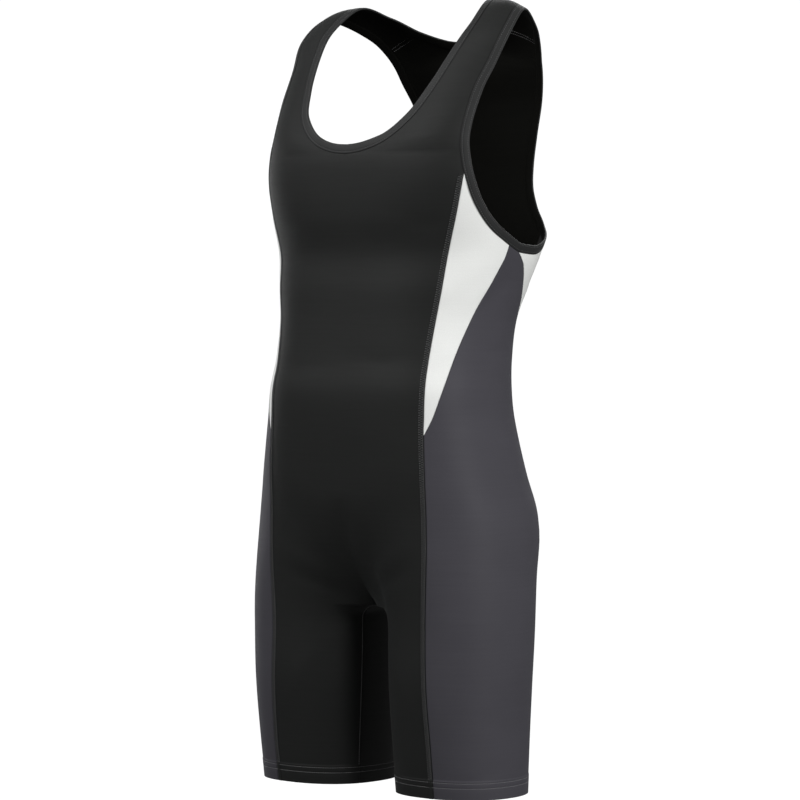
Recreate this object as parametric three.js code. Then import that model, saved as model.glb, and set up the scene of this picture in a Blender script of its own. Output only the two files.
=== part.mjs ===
import * as THREE from 'three';

// A wrestling singlet, filled out as it is worn, with nothing inside it.
// Millimetres. +Z is up, the front faces -Y and the wearer's left side is +X.
// The origin is midway between the tops of the two shoulder straps.

// Cloth and seams
const wall = 1.6;
const seamGap = 0.3;
const neckBinding = { width: 10, proud: 0.6 };
const armholeBinding = { width: 9.5, proud: 0.6 };
const hem = { z: -872, depth: 20, proudOutside: 0.5, proudInside: 0.8, step: 1.5 };

// Levels of the cut
const chestZ = -170;
const napeZ = -75;
const underarmZ = -292;
const cornerRowZ = -311;
const frontTipZ = -193;
const backTipZ = -257;
const insertFootZ = -477;

// The legs part at the crotch, in a fork that starts to form at topZ. The powers say how soon
// its front and back draw in, turn how softly they leave the middle, and reach how near to
// the middle that drawing in stays. Away from the middle, past spread, it is softer and ends
// softFall below the fork. Web is how far round the leg the rounded bottom of the fork goes,
// and webRadius how wide it is.
const fork = {
  topZ: -545, z: -670, y: -77, frontPower: 1.45, backPower: 2, turn: 0.05, reach: 22,
  frontSoft: 1.3, backSoft: 1.75, softFall: 25, spread: 0.07, archDrop: 16, web: 0.08, webRadius: 45,
};
const thighBlend = { topZ: -540, footZ: -690 };

// Fineness
const contourSteps = 160;
const rowStep = 26;
const panelColumns = 5;
const sideColumns = 8;
const insertColumns = 3;
const backInsertColumns = 4;
const bindingSpacing = 2;
const tipWidth = 1.4;
const foldRound = 0.8;

// Trunk, one row for each level: half the width, where the front, side and back lie,
// and how square the section is in front and behind (2 is an ellipse).
const trunkSections = [
  { z: -40, halfWidth: 170, frontY: -86, sideY: -4, backY: 74, frontSquare: 2.8, backSquare: 2.8 },
  { z: -75, halfWidth: 171, frontY: -101, sideY: -8, backY: 83, frontSquare: 2.8, backSquare: 2.8 },
  { z: -110, halfWidth: 171, frontY: -116, sideY: -14, backY: 95, frontSquare: 2.7, backSquare: 2.7 },
  { z: -170, halfWidth: 170, frontY: -134, sideY: -22, backY: 97.5, frontSquare: 2.95, backSquare: 2.8 },
  { z: -200, halfWidth: 170, frontY: -136.5, sideY: -24, backY: 95.5, frontSquare: 3, backSquare: 2.85 },
  { z: -240, halfWidth: 167, frontY: -135.5, sideY: -28, backY: 88, frontSquare: 2.75, backSquare: 2.6 },
  { z: -281, halfWidth: 160, frontY: -131, sideY: -31, backY: 77, frontSquare: 2.65, backSquare: 2.4 },
  { z: -320, halfWidth: 148, frontY: -134.5, sideY: -40, backY: 66, frontSquare: 2.95, backSquare: 2.35 },
  { z: -355, halfWidth: 141.5, frontY: -137, sideY: -48, backY: 55, frontSquare: 3, backSquare: 2.3 },
  { z: -398, halfWidth: 141.5, frontY: -141.5, sideY: -56, backY: 48, frontSquare: 3.1, backSquare: 2.3 },
  { z: -430, halfWidth: 144.5, frontY: -147, sideY: -61, backY: 46, frontSquare: 3.2, backSquare: 2.3 },
  { z: -462, halfWidth: 147.5, frontY: -147.7, sideY: -61, backY: 49, frontSquare: 3.2, backSquare: 2.3 },
  { z: -522, halfWidth: 160, frontY: -146, sideY: -56, backY: 59, frontSquare: 3.1, backSquare: 2.3 },
  { z: -565, halfWidth: 171, frontY: -144, sideY: -50, backY: 70, frontSquare: 2.9, backSquare: 2.3 },
  { z: -600, halfWidth: 175, frontY: -144.5, sideY: -46, backY: 77, frontSquare: 2.8, backSquare: 2.3 },
  { z: -640, halfWidth: 175, frontY: -144.5, sideY: -48, backY: 75, frontSquare: 2.8, backSquare: 2.3 },
  { z: -700, halfWidth: 175, frontY: -142, sideY: -50, backY: 74, frontSquare: 2.8, backSquare: 2.3 },
];

// Legs, one row for each level, about their own centre: an ellipse at the outer back,
// squarer in front and at the inner back.
const legSections = [
  { z: -540, centreX: 103, centreY: -54, halfWidth: 78, frontDepth: 81, backDepth: 88 },
  { z: -690, centreX: 103, centreY: -59, halfWidth: 78.5, frontDepth: 72, backDepth: 85.5 },
  { z: -755, centreX: 102.5, centreY: -59, halfWidth: 76.5, frontDepth: 72.5, backDepth: 82 },
  { z: -820, centreX: 102, centreY: -58, halfWidth: 73.5, frontDepth: 68, backDepth: 78.5 },
  { z: -900, centreX: 101, centreY: -56, halfWidth: 70.5, frontDepth: 60, backDepth: 75 },
];
const legFrontSquare = 2.35;
const legInnerSquare = 2.5;

// Seams and edges on the trunk and legs, as points that lie on or just off the surface.
const frontSeam = [
  { z: -170, x: 153.5, y: -100 },
  { z: -193, x: 147.3, y: -103.4 },
  { z: -240, x: 137, y: -105.5 },
  { z: -281, x: 126, y: -106 },
  { z: -320, x: 122, y: -112 },
  { z: -355, x: 117, y: -116.5 },
  { z: -398, x: 113.5, y: -124 },
  { z: -430, x: 114.5, y: -131 },
  { z: -477, x: 115, y: -133 },
  { z: -522, x: 116.5, y: -133 },
  { z: -600, x: 118, y: -132 },
  { z: -690, x: 115, y: -129.5 },
  { z: -755, x: 116.5, y: -129 },
  { z: -820, x: 118, y: -123 },
  { z: -872, x: 117.5, y: -118 },
];
const backSeam = [
  { z: -240, x: 119, y: 63 },
  { z: -275, x: 115, y: 62 },
  { z: -344, x: 109, y: 48 },
  { z: -430, x: 102, y: 36 },
  { z: -522, x: 104, y: 46 },
  { z: -600, x: 112, y: 52 },
  { z: -690, x: 115, y: 32 },
  { z: -790, x: 113, y: 24 },
  { z: -872, x: 112, y: 20 },
];
const frontInsertEdge = [
  { z: -275, x: 162, y: -44 },
  { z: -310, x: 151, y: -60 },
  { z: -331, x: 144, y: -71 },
  { z: -355, x: 139, y: -84 },
  { z: -380, x: 135, y: -97 },
  { z: -408, x: 132, y: -110 },
  { z: -438, x: 128, y: -122 },
  { z: -459, x: 123, y: -128 },
  { z: -477, x: 115, y: -133 },
];
const backInsertEdge = [
  { z: -275, x: 165, y: -28 },
  { z: -295, x: 157, y: -13 },
  { z: -317, x: 147, y: 0 },
  { z: -344, x: 136, y: 14 },
  { z: -385, x: 124, y: 27 },
  { z: -435, x: 111, y: 33 },
  { z: -477, x: 103, y: 41 },
];
const frontArmhole = [
  { z: -271, x: 160, y: -46 },
  { z: -257, x: 159, y: -69 },
  { z: -240, x: 157, y: -85.5 },
  { z: -218, x: 152, y: -97 },
  { z: -193, x: 147.3, y: -103.4 },
  { z: -183, x: 145.5, y: -104.5 },
  { z: -170, x: 143, y: -104 },
];
const backArmhole = [
  { z: -257, x: 117, y: 66 },
  { z: -240, x: 95, y: 82 },
  { z: -226, x: 82, y: 87 },
  { z: -208, x: 72, y: 91 },
  { z: -186, x: 69, y: 94 },
  { z: -150, x: 75, y: 93 },
  { z: -110, x: 87, y: 88 },
  { z: -75, x: 99, y: 75.5 },
];
// The armhole's low stretch behind the side panel, from its corner to the back insert's tip.
const backUnderarm = [
  { z: -279, x: 167, y: -28 },
  { z: -281, x: 166, y: 6 },
  { z: -272, x: 147, y: 40 },
  { z: -257, x: 117, y: 66 },
];

// From the chest over the shoulder to the nape: where each row meets the neck binding
// and the armhole binding, and how far the cloth between them bows out.
const shoulderRows = [
  { neckX: 48, neckY: -130, neckZ: -160, armX: 141, armY: -101, armZ: -150, bow: 4 },
  { neckX: 82, neckY: -117, neckZ: -133, armX: 141, armY: -92, armZ: -125, bow: 3 },
  { neckX: 98, neckY: -96, neckZ: -99, armX: 142, armY: -79, armZ: -98, bow: 2.5 },
  { neckX: 108, neckY: -72, neckZ: -62, armX: 146, armY: -62, armZ: -70, bow: 2.5 },
  { neckX: 113, neckY: -45, neckZ: -28, armX: 150, armY: -41, armZ: -34, bow: 2.5 },
  { neckX: 105, neckY: -6, neckZ: 0, armX: 141, armY: -6, armZ: -8, bow: 2.5 },
  { neckX: 94, neckY: 36, neckZ: -11, armX: 121.5, armY: 40, armZ: -24, bow: 2.5 },
  { neckX: 68, neckY: 57, neckZ: -29, armX: 109, armY: 60.5, armZ: -45, bow: 2.5 },
  { neckX: 36, neckY: 74, neckZ: -43, armX: 103, armY: 69.5, armZ: -60, bow: 3 },
  { neckX: 0, neckY: 79, neckZ: -48, armX: 100.5, armY: 73.5, armZ: -69, bow: 5 },
];
// Counting the chest row as 0, the back panel is joined to the straps at this row.
const shoulderSeamRow = 8;
const strapFadeRows = 3;
const stepsPerRow = [3, 3, 2, 2, 2, 3, 3, 2, 2, 3, 1];

// Colours
const black = new THREE.Color(0x232427);
const charcoal = new THREE.Color(0x47464b);
const white = new THREE.Color(0xe4e6e2);
const bindingBlack = new THREE.Color(0x1c1d20);

const clamp = (value, low, high) => Math.min(high, Math.max(low, value));
const mix = (a, b, t) => a + (b - a) * t;
const smooth = (t) => {
  const c = clamp(t, 0, 1);
  return c * c * (3 - 2 * c);
};
const mixPoint = (a, b, t) => a.clone().lerp(b, t);

// A smooth curve through four values, between the middle two.
function spline(p0, p1, p2, p3, t) {
  const pull = p2 - p0;
  const push = p3 - p1;
  const square = t * t;
  const cube = square * t;
  return p1 + 0.5 * (pull * t + (6 * (p2 - p1) - 2 * pull - push) * square
    + (pull + push - 4 * (p2 - p1)) * cube);
}

// Reads a table at a level by a curve through its rows, with the slope of each row
// weighed by the distances to its neighbours.
function readTable(table, z, column) {
  const rows = table[0].z > table[table.length - 1].z ? table : [...table].reverse();
  const level = clamp(z, rows[rows.length - 1].z, rows[0].z);
  let i = 0;
  while (i < rows.length - 2 && rows[i + 1].z > level) i += 1;
  const slope = (k) => {
    const a = rows[Math.max(k - 1, 0)];
    const b = rows[Math.min(k + 1, rows.length - 1)];
    return (b[column] - a[column]) / (b.z - a.z);
  };
  const low = rows[i];
  const high = rows[i + 1];
  const span = high.z - low.z;
  const t = (level - low.z) / span;
  const slopeLow = slope(i) * span;
  const slopeHigh = slope(i + 1) * span;
  const rise = high[column] - low[column];
  return low[column] + slopeLow * t + (3 * rise - 2 * slopeLow - slopeHigh) * t * t
    + (slopeLow + slopeHigh - 2 * rise) * t * t * t;
}

// A closed or open run of points, read by the share of its length.
class Run {
  constructor(points) {
    this.points = points;
    this.lengths = [0];
    for (let i = 1; i < points.length; i += 1) {
      const step = Math.hypot(points[i][0] - points[i - 1][0], points[i][1] - points[i - 1][1]);
      this.lengths.push(this.lengths[i - 1] + step);
    }
    this.total = this.lengths[this.lengths.length - 1];
  }

  at(share) {
    const target = clamp(share, 0, 1) * this.total;
    let low = 0;
    let high = this.lengths.length - 1;
    while (high - low > 1) {
      const middle = (low + high) >> 1;
      if (this.lengths[middle] > target) high = middle;
      else low = middle;
    }
    const t = (target - this.lengths[low]) / (this.lengths[high] - this.lengths[low]);
    const a = this.points[low];
    const b = this.points[high];
    return [mix(a[0], b[0], t), mix(a[1], b[1], t)];
  }
}

// Half of the trunk at one level, from the centre front round the side to the centre back.
function trunkRun(z) {
  const halfWidth = readTable(trunkSections, z, 'halfWidth');
  const frontY = readTable(trunkSections, z, 'frontY');
  const sideY = readTable(trunkSections, z, 'sideY');
  const backY = readTable(trunkSections, z, 'backY');
  const frontPower = 2 / readTable(trunkSections, z, 'frontSquare');
  const backPower = 2 / readTable(trunkSections, z, 'backSquare');
  const points = [];
  for (let i = 0; i <= contourSteps; i += 1) {
    const angle = (Math.PI * i) / contourSteps;
    const inFront = angle < Math.PI / 2;
    const power = inFront ? frontPower : backPower;
    const across = Math.max(Math.sin(angle), 0) ** power;
    const along = Math.abs(Math.cos(angle)) ** power;
    points.push([halfWidth * across, mix(sideY, inFront ? frontY : backY, along)]);
  }
  return new Run(points);
}

// One leg at one level, from the inseam round the front, the outside and the back to the inseam.
function legRun(z) {
  const centreX = readTable(legSections, z, 'centreX');
  const centreY = readTable(legSections, z, 'centreY');
  const halfWidth = readTable(legSections, z, 'halfWidth');
  const frontDepth = readTable(legSections, z, 'frontDepth');
  const backDepth = readTable(legSections, z, 'backDepth');
  const inseam = Math.asin(((centreY - fork.y) / frontDepth) ** (legFrontSquare / 2));
  const points = [];
  for (let i = 0; i <= contourSteps; i += 1) {
    const angle = inseam + (2 * Math.PI * i) / contourSteps;
    const inFront = Math.sin(angle) > 0;
    const behind = Math.cos(angle) > 0 ? 2 / legInnerSquare : 1;
    const power = inFront ? 2 / legFrontSquare : behind;
    const across = Math.sign(Math.cos(angle)) * Math.abs(Math.cos(angle)) ** power;
    const along = Math.sign(Math.sin(angle)) * Math.abs(Math.sin(angle)) ** power;
    const depth = inFront ? frontDepth : backDepth;
    points.push([centreX - halfWidth * across, centreY - depth * along]);
  }
  return new Run(points);
}

const runs = new Map();
function runsAt(z) {
  const key = z.toFixed(3);
  if (!runs.has(key)) runs.set(key, { trunk: trunkRun(z), leg: legRun(z) });
  return runs.get(key);
}

// How far the centre front and centre back have drawn together above the crotch, 0 to 1.
function forkShare(z, power) {
  const fall = clamp((fork.topZ - z) / (fork.topZ - fork.z), 0, 1);
  return 1 - (1 - fall ** power) ** (1 / power);
}

// The level at which the centre back has drawn in by a given share.
function forkLevel(share) {
  const fall = (1 - (1 - share) ** fork.backPower) ** (1 / fork.backPower);
  return fork.topZ - fall * (fork.topZ - fork.z);
}

// A point on the wearer's left half. The share runs from the centre front (or the inseam)
// at 0 round the side to the centre back (or the inseam) at 1.
function surfacePoint(share, z) {
  if (share < 0 || share > 1) {
    if (z <= fork.z) return surfacePoint(share < 0 ? share + 1 : share - 1, z);
    const mirrored = surfacePoint(share < 0 ? -share : 2 - share, z);
    mirrored.x = -mirrored.x;
    return mirrored;
  }
  const { trunk, leg } = runsAt(z);
  const inFront = share < 0.5;
  const nearEnd = Math.min(share, 1 - share);
  const sharp = forkShare(z, inFront ? fork.frontPower : fork.backPower);
  const fall = clamp((fork.topZ - z) / (fork.topZ - fork.z + fork.softFall), 0, 1);
  const soft = smooth(fall ** (inFront ? fork.frontSoft : fork.backSoft));
  const drawn = mix(sharp, soft, smooth(nearEnd / fork.spread));
  const turn = fork.turn * (1 - drawn);
  const eased = 0.5 * (Math.hypot(nearEnd, turn) - turn) / (Math.hypot(0.5, turn) - turn);
  const [trunkX, trunkY] = trunk.at(share);
  const [legX, legY] = leg.at(inFront ? eased : 1 - eased);
  // Below the crotch the inner side falls back from the middle in a small arch.
  const below = clamp((fork.z - z) / fork.archDrop, 0, 1);
  const arch = 1 - Math.sqrt(1 - (1 - below) ** 2);
  const web = Math.cos((Math.PI / 2) * Math.min(1, nearEnd / fork.web)) ** 2;
  const touchX = (nearEnd * leg.total) ** 2 / (2 * fork.webRadius);
  const innerX = mix(legX, touchX, arch * web);
  const around = 1 - Math.abs(Math.cos(Math.PI * share)) ** fork.reach;
  const thigh = smooth((thighBlend.topZ - z) / (thighBlend.topZ - thighBlend.footZ));
  const legged = mix(drawn, thigh, around);
  return new THREE.Vector3(mix(trunkX, innerX, legged), mix(trunkY, legY, legged), z);
}

// The surface's outward direction at a point.
function surfaceNormal(share, z) {
  const step = 0.004;
  const across = surfacePoint(share + step, z).sub(surfacePoint(share - step, z));
  const up = surfacePoint(share, z + 1).sub(surfacePoint(share, z - 1));
  const normal = across.cross(up).normalize();
  if (z > fork.z && (share === 0 || share === 1)) normal.setX(0).normalize();
  return normal;
}

// The share at which the surface passes nearest to a point at its level.
function nearestShare(z, x, y) {
  const steps = 240;
  let best = 0;
  let bestDistance = Infinity;
  for (let i = 0; i <= steps; i += 1) {
    const point = surfacePoint(i / steps, z);
    const distance = Math.hypot(point.x - x, point.y - y);
    if (distance < bestDistance) {
      bestDistance = distance;
      best = i / steps;
    }
  }
  const before = surfacePoint(Math.max(best - 1 / steps, 0), z);
  const after = surfacePoint(Math.min(best + 1 / steps, 1), z);
  const along = new THREE.Vector3(after.x - before.x, after.y - before.y, 0);
  const reach = ((x - before.x) * along.x + (y - before.y) * along.y) / along.lengthSq();
  return clamp(best + (2 * clamp(reach, 0, 1) - 1) / steps, 0, 1);
}

const edgeShare = (table, z) => nearestShare(z, readTable(table, z, 'x'), readTable(table, z, 'y'));
const shareOf = (length, z) => length / runsAt(z).trunk.total;

// A place on a panel: its point, its outward direction, and the wall on each side of it.
function place(share, z) {
  const hemmed = z <= hem.z + hem.depth;
  const point = surfacePoint(share, z);
  if (z >= fork.z && (share === 0 || share === 1)) point.x = 0;
  return {
    point,
    normal: surfaceNormal(share, z),
    out: hemmed ? hem.proudOutside : 0,
    in: hemmed ? wall + hem.proudInside : wall,
  };
}

// A row of places between two ends, each given as a share and a level.
function surfaceRow(left, right, columns) {
  const closed = Math.abs(right.share - left.share) * runsAt(left.z).trunk.total < tipWidth;
  const row = [];
  for (let j = 0; j <= columns; j += 1) {
    const t = closed ? 0.5 : j / columns;
    row.push(place(mix(left.share, right.share, t), mix(left.z, right.z, t)));
  }
  return row;
}

function equalLevels(from, to, step) {
  const count = Math.max(1, Math.round(Math.abs(to - from) / step));
  return Array.from({ length: count }, (_, i) => mix(from, to, i / count));
}

// Levels that every panel shares, from the hem to just under the arm.
const archLevels = [1, 0.5625, 0.25, 0.0625].map((part) => fork.z - part * fork.archDrop);
const forkLevels = [1, 0.8, 0.6, 0.4, 0.2].map(forkLevel);
const sharedLevels = [
  hem.z,
  hem.z + hem.depth,
  ...equalLevels(hem.z + hem.depth + hem.step, archLevels[0], rowStep),
  ...archLevels,
  ...forkLevels,
  ...equalLevels(forkLevel(0.07), insertFootZ, rowStep),
  ...equalLevels(insertFootZ, underarmZ - 25, rowStep),
  underarmZ - 25,
  cornerRowZ,
  underarmZ - 12,
  underarmZ,
];
const frontLevels = [-275, -257, -240, -218, frontTipZ, -183, chestZ];
const backLevels = [-275, -266, backTipZ, -248, -238, -226, -208, -188, -168, -148, -128, -108, -90, napeZ];

const shoulder = buildShoulder();

// The cloth over the shoulder, from the chest row to the nape row.
function buildShoulder() {
  const joinRow = (z, table, front) => {
    const share = edgeShare(table, z);
    return { neck: surfacePoint(front ? 0 : 1, z), arm: surfacePoint(share, z), share };
  };
  const chest = joinRow(chestZ, frontArmhole, true);
  const nape = joinRow(napeZ, backArmhole, false);
  const underChest = joinRow(chestZ - 25, frontArmhole, true);
  const underNape = joinRow(napeZ - 25, backArmhole, false);
  const rows = shoulderRows.map((row) => ({
    neck: new THREE.Vector3(row.neckX, row.neckY, row.neckZ),
    arm: new THREE.Vector3(row.armX, row.armY, row.armZ),
    bow: row.bow,
  }));
  const all = [underChest, chest, ...rows, nape, underNape];
  const last = all.length - 3;
  const across = (spot) => new THREE.Vector3(-spot.x, spot.y, spot.z);
  const between = (t, end) => {
    const i = clamp(Math.floor(t), 0, last - 1);
    const four = [0, 1, 2, 3].map((k) => all[i + k][end]);
    // The neckline is level where it crosses the middle, in front and behind.
    if (end === 'neck' && i === 0) four[0] = across(four[2]);
    if (end === 'neck' && i === last - 2) four[3] = across(four[1]);
    if (end === 'neck' && i === last - 1) four[0] = four[1].clone().multiplyScalar(2).sub(four[2]);
    const at = (axis) => spline(...four.map((spot) => spot[axis]), t - i);
    return new THREE.Vector3(at('x'), at('y'), at('z'));
  };
  const bowAt = (t) => {
    const i = clamp(Math.floor(t), 0, last - 1);
    return mix(all[i + 1].bow ?? 0, all[i + 2].bow ?? 0, t - i);
  };
  const middle = (t) => between(t, 'neck').add(between(t, 'arm')).multiplyScalar(0.5);
  const travel = (t) => middle(Math.min(t + 0.05, last)).sub(middle(Math.max(t - 0.05, 0)));
  const bulge = (join, front, u) => {
    const share = front ? u * join.share : 1 - u * (1 - join.share);
    const level = front ? chestZ : napeZ;
    return surfacePoint(share, level).sub(mixPoint(join.neck, join.arm, u));
  };
  const point = (t, u) => {
    const neck = between(t, 'neck');
    const arm = between(t, 'arm');
    const fromChest = 1 - smooth(t / strapFadeRows);
    const fromNape = 1 - smooth((last - t) / strapFadeRows);
    const outward = arm.clone().sub(neck).cross(travel(t)).normalize();
    const bow = bowAt(t) * (1 - fromChest - fromNape) * 4 * u * (1 - u);
    return mixPoint(neck, arm, u)
      .addScaledVector(bulge(chest, true, u), fromChest)
      .addScaledVector(bulge(nape, false, u), fromNape)
      .addScaledVector(outward, bow);
  };
  // Taken well inside the row, because near the middle the neckline runs along its rows,
  // and then tilted by as much as the row has bent by the wanted point.
  const normal = (t, u) => {
    const inside = clamp(u, 0.35, 0.65);
    const across = point(t, inside + 0.02).sub(point(t, inside - 0.02));
    const along = point(Math.min(t + 0.04, last), inside).sub(point(Math.max(t - 0.04, 0), inside));
    const outward = across.clone().cross(along).normalize();
    const low = Math.max(u - 0.02, 0);
    const high = Math.min(u + 0.02, 1);
    const here = point(t, high).sub(point(t, low));
    const rise = here.dot(outward) / here.length();
    outward.addScaledVector(across.normalize(), -rise).normalize();
    if (u === 0 && between(t, 'neck').x === 0) outward.setX(0).normalize();
    return outward;
  };
  return { point, normal, last };
}

function shoulderLine(t, columns, fromNeck) {
  const row = [];
  for (let j = 0; j <= columns; j += 1) {
    const u = fromNeck ? j / columns : 1 - j / columns;
    row.push({ point: shoulder.point(t, u), normal: shoulder.normal(t, u), out: 0, in: wall });
  }
  return row;
}

// Stations over the shoulder, between two rows.
function shoulderStations(from, to) {
  const stations = [];
  for (let i = from; i < to; i += 1) {
    const steps = stepsPerRow[i];
    for (let k = i === from ? 0 : 1; k <= steps; k += 1) stations.push(i + k / steps);
  }
  return stations;
}

// A row that stops half a seam gap short of the shoulder seam.
function shoulderSeamLine(side, columns, fromNeck) {
  const step = 0.01;
  const near = shoulderLine(shoulderSeamRow, columns, fromNeck);
  const far = shoulderLine(shoulderSeamRow + side * step, columns, fromNeck);
  return near.map((spot, j) => {
    const away = far[j].point.clone().sub(spot.point).setLength(seamGap / 2);
    return { ...spot, point: spot.point.clone().add(away) };
  });
}

// Panels are sheets of places joined by four-sided cells, thickened into walls.
class Sheet {
  constructor() {
    this.places = [];
    this.cells = [];
    this.found = new Map();
  }

  add(spot, mirrored) {
    const point = spot.point.clone();
    const normal = spot.normal.clone();
    if (mirrored) {
      point.x = -point.x;
      normal.x = -normal.x;
    }
    const key = point.toArray().map((value) => Math.round(value * 1000) + 0).join(' ');
    if (!this.found.has(key)) {
      this.found.set(key, this.places.length);
      this.places.push({ point, normal, out: spot.out, in: spot.in });
    }
    return this.found.get(key);
  }

  addRows(rows, mirrored) {
    const ids = rows.map((row) => row.map((spot) => this.add(spot, mirrored)));
    for (let i = 0; i < ids.length - 1; i += 1) {
      for (let j = 0; j < ids[i].length - 1; j += 1) {
        const cell = [ids[i][j], ids[i][j + 1], ids[i + 1][j + 1], ids[i + 1][j]];
        this.cells.push(mirrored ? cell.reverse() : cell);
      }
    }
  }

  thicken() {
    const count = this.places.length;
    const positions = [];
    for (const side of [1, -1]) {
      for (const spot of this.places) {
        const reach = side > 0 ? spot.out : -spot.in;
        positions.push(spot.point.clone().addScaledVector(spot.normal, reach));
      }
    }
    const outer = [];
    for (const [a, b, c, d] of this.cells) {
      const first = positions[a].distanceTo(positions[c]) <= positions[b].distanceTo(positions[d]);
      const halves = first ? [[a, b, c], [a, c, d]] : [[a, b, d], [b, c, d]];
      outer.push(...halves.filter(([p, q, r]) => p !== q && q !== r && r !== p));
    }
    const edges = new Set(outer.flatMap(([a, b, c]) => [`${a} ${b}`, `${b} ${c}`, `${c} ${a}`]));
    const faces = [...outer, ...outer.map(([a, b, c]) => [a + count, c + count, b + count])];
    for (const edge of edges) {
      const [a, b] = edge.split(' ').map(Number);
      if (edges.has(`${b} ${a}`)) continue;
      faces.push([b, a, a + count], [b, a + count, b + count]);
    }
    return solid(positions, faces);
  }
}

function solid(positions, faces) {
  const geometry = new THREE.BufferGeometry();
  const numbers = positions.flatMap((spot) => spot.toArray());
  geometry.setAttribute('position', new THREE.Float32BufferAttribute(numbers, 3));
  geometry.setIndex(faces.flat());
  geometry.computeVertexNormals();
  return geometry;
}

// A folded strip that closes a raw edge: a loop of places, widened into the opening.
function bindingSolid(loop, binding, towardOpening) {
  const back = -wall - binding.proud;
  const section = [
    [seamGap, binding.proud],
    [binding.width - foldRound, binding.proud],
    [binding.width, -wall / 2],
    [binding.width - foldRound, back],
    [seamGap, back],
  ];
  const positions = [];
  loop.forEach((spot, i) => {
    const before = loop[(i + loop.length - 1) % loop.length].point;
    const after = loop[(i + 1) % loop.length].point;
    const along = after.clone().sub(before).normalize();
    const inward = along.cross(spot.normal).normalize().multiplyScalar(towardOpening);
    for (const [reach, lift] of section) {
      positions.push(spot.point.clone().addScaledVector(inward, reach).addScaledVector(spot.normal, lift));
    }
  });
  const faces = [];
  const sides = section.length;
  for (let i = 0; i < loop.length; i += 1) {
    const next = ((i + 1) % loop.length) * sides;
    for (let j = 0; j < sides; j += 1) {
      const k = (j + 1) % sides;
      const [a, b, c, d] = [i * sides + j, i * sides + k, next + k, next + j];
      const halves = towardOpening > 0 ? [[a, b, c], [a, c, d]] : [[a, c, b], [a, d, c]];
      faces.push(...halves);
    }
  }
  return solid(positions, faces);
}

// Drops places that lie closer to the one before than a least spacing.
function thin(loop, spacing) {
  const kept = [];
  for (const spot of loop) {
    const previous = kept[kept.length - 1];
    if (!previous || spot.point.distanceTo(previous.point) >= spacing) kept.push(spot);
  }
  while (kept[kept.length - 1].point.distanceTo(kept[0].point) < spacing) kept.pop();
  return kept;
}

const mirrorPlace = (spot) => ({
  ...spot,
  point: new THREE.Vector3(-spot.point.x, spot.point.y, spot.point.z),
  normal: new THREE.Vector3(-spot.normal.x, spot.normal.y, spot.normal.z),
});

// Where each panel's side edges run at a level, before the seam gap.
const frontEdge = (z) => edgeShare(z < frontTipZ ? frontSeam : frontArmhole, z);
const backEdge = (z) => edgeShare(z < backTipZ ? backSeam : backArmhole, z);
const halfGap = (z) => shareOf(seamGap / 2, z);

// Front panel: chest, belly, the fronts of both legs and both straps
function frontRows() {
  const rows = [...sharedLevels, ...frontLevels].map((z) => {
    const left = { share: z < fork.z ? halfGap(z) : 0, z };
    const right = { share: frontEdge(z) - (z < frontTipZ ? halfGap(z) : 0), z };
    return surfaceRow(left, right, panelColumns);
  });
  const stations = shoulderStations(0, shoulderSeamRow).slice(1, -1);
  rows.push(...stations.map((t) => shoulderLine(t, panelColumns, true)));
  rows.push(shoulderSeamLine(-1, panelColumns, true));
  return rows;
}

// Back panel: the seat, the backs of both legs and the narrow yoke between the armholes
function backRows() {
  const rows = [...sharedLevels, ...backLevels].map((z) => {
    const left = { share: backEdge(z) + (z < backTipZ ? halfGap(z) : 0), z };
    const right = { share: z < fork.z ? 1 - halfGap(z) : 1, z };
    return surfaceRow(left, right, panelColumns);
  });
  const stations = shoulderStations(shoulderSeamRow, shoulder.last).slice(1, -1).reverse();
  rows.push(...stations.map((t) => shoulderLine(t, panelColumns, false)));
  rows.push(shoulderSeamLine(1, panelColumns, false));
  return rows;
}

// Inserts: long points of pale cloth beside the front and back panels
const insertLevels = sharedLevels.filter((z) => z >= insertFootZ);
function frontInsertRows() {
  const seamAt = (z) => ({ share: edgeShare(frontSeam, z) + halfGap(z), z });
  const rows = insertLevels.map((z) => {
    const edge = { share: edgeShare(frontInsertEdge, z) - halfGap(z), z };
    return surfaceRow(seamAt(z), edge, insertColumns);
  });
  const corner = frontArmhole[0].z;
  for (const z of frontLevels.filter((level) => level <= frontTipZ)) {
    const armZ = Math.max(z, corner);
    const armhole = { share: edgeShare(frontArmhole, armZ), z: armZ };
    rows.push(surfaceRow(seamAt(Math.min(z, frontTipZ)), armhole, insertColumns));
  }
  return rows;
}

function backInsertRows() {
  const seamAt = (z) => ({ share: edgeShare(backSeam, z) - halfGap(z), z });
  // The outer edge turns the corner under the arm, so its stations climb ahead of the seam's,
  // which start from one level twice.
  const outer = insertLevels.map((z) => ({ share: edgeShare(backInsertEdge, z) + halfGap(z), z }));
  outer.push(...backUnderarm.map(({ x, y, z }) => ({ share: nearestShare(z, x, y), z })));
  const seamLevels = [...insertLevels, ...backLevels.filter((z) => z <= backTipZ)];
  const cornerRow = insertLevels.indexOf(cornerRowZ);
  seamLevels.splice(cornerRow, 0, insertLevels[cornerRow - 1]);
  return outer.map((edge, i) => surfaceRow(edge, seamAt(seamLevels[i]), backInsertColumns));
}

// Side panel: a long spear from under the arm to the hem
function sideRows() {
  const rows = sharedLevels.map((z) => {
    const front = z < insertFootZ ? frontSeam : frontInsertEdge;
    const back = z < insertFootZ ? backSeam : backInsertEdge;
    const left = { share: edgeShare(front, z) + halfGap(z), z };
    const right = { share: edgeShare(back, z) - halfGap(z), z };
    return surfaceRow(left, right, sideColumns);
  });
  const [front] = frontArmhole;
  const [back] = backUnderarm;
  const left = { share: nearestShare(front.z, front.x, front.y) + halfGap(front.z), z: front.z };
  const right = { share: nearestShare(back.z, back.x, back.y) - halfGap(back.z), z: back.z };
  rows.push(surfaceRow(left, right, sideColumns));
  return rows;
}

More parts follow.
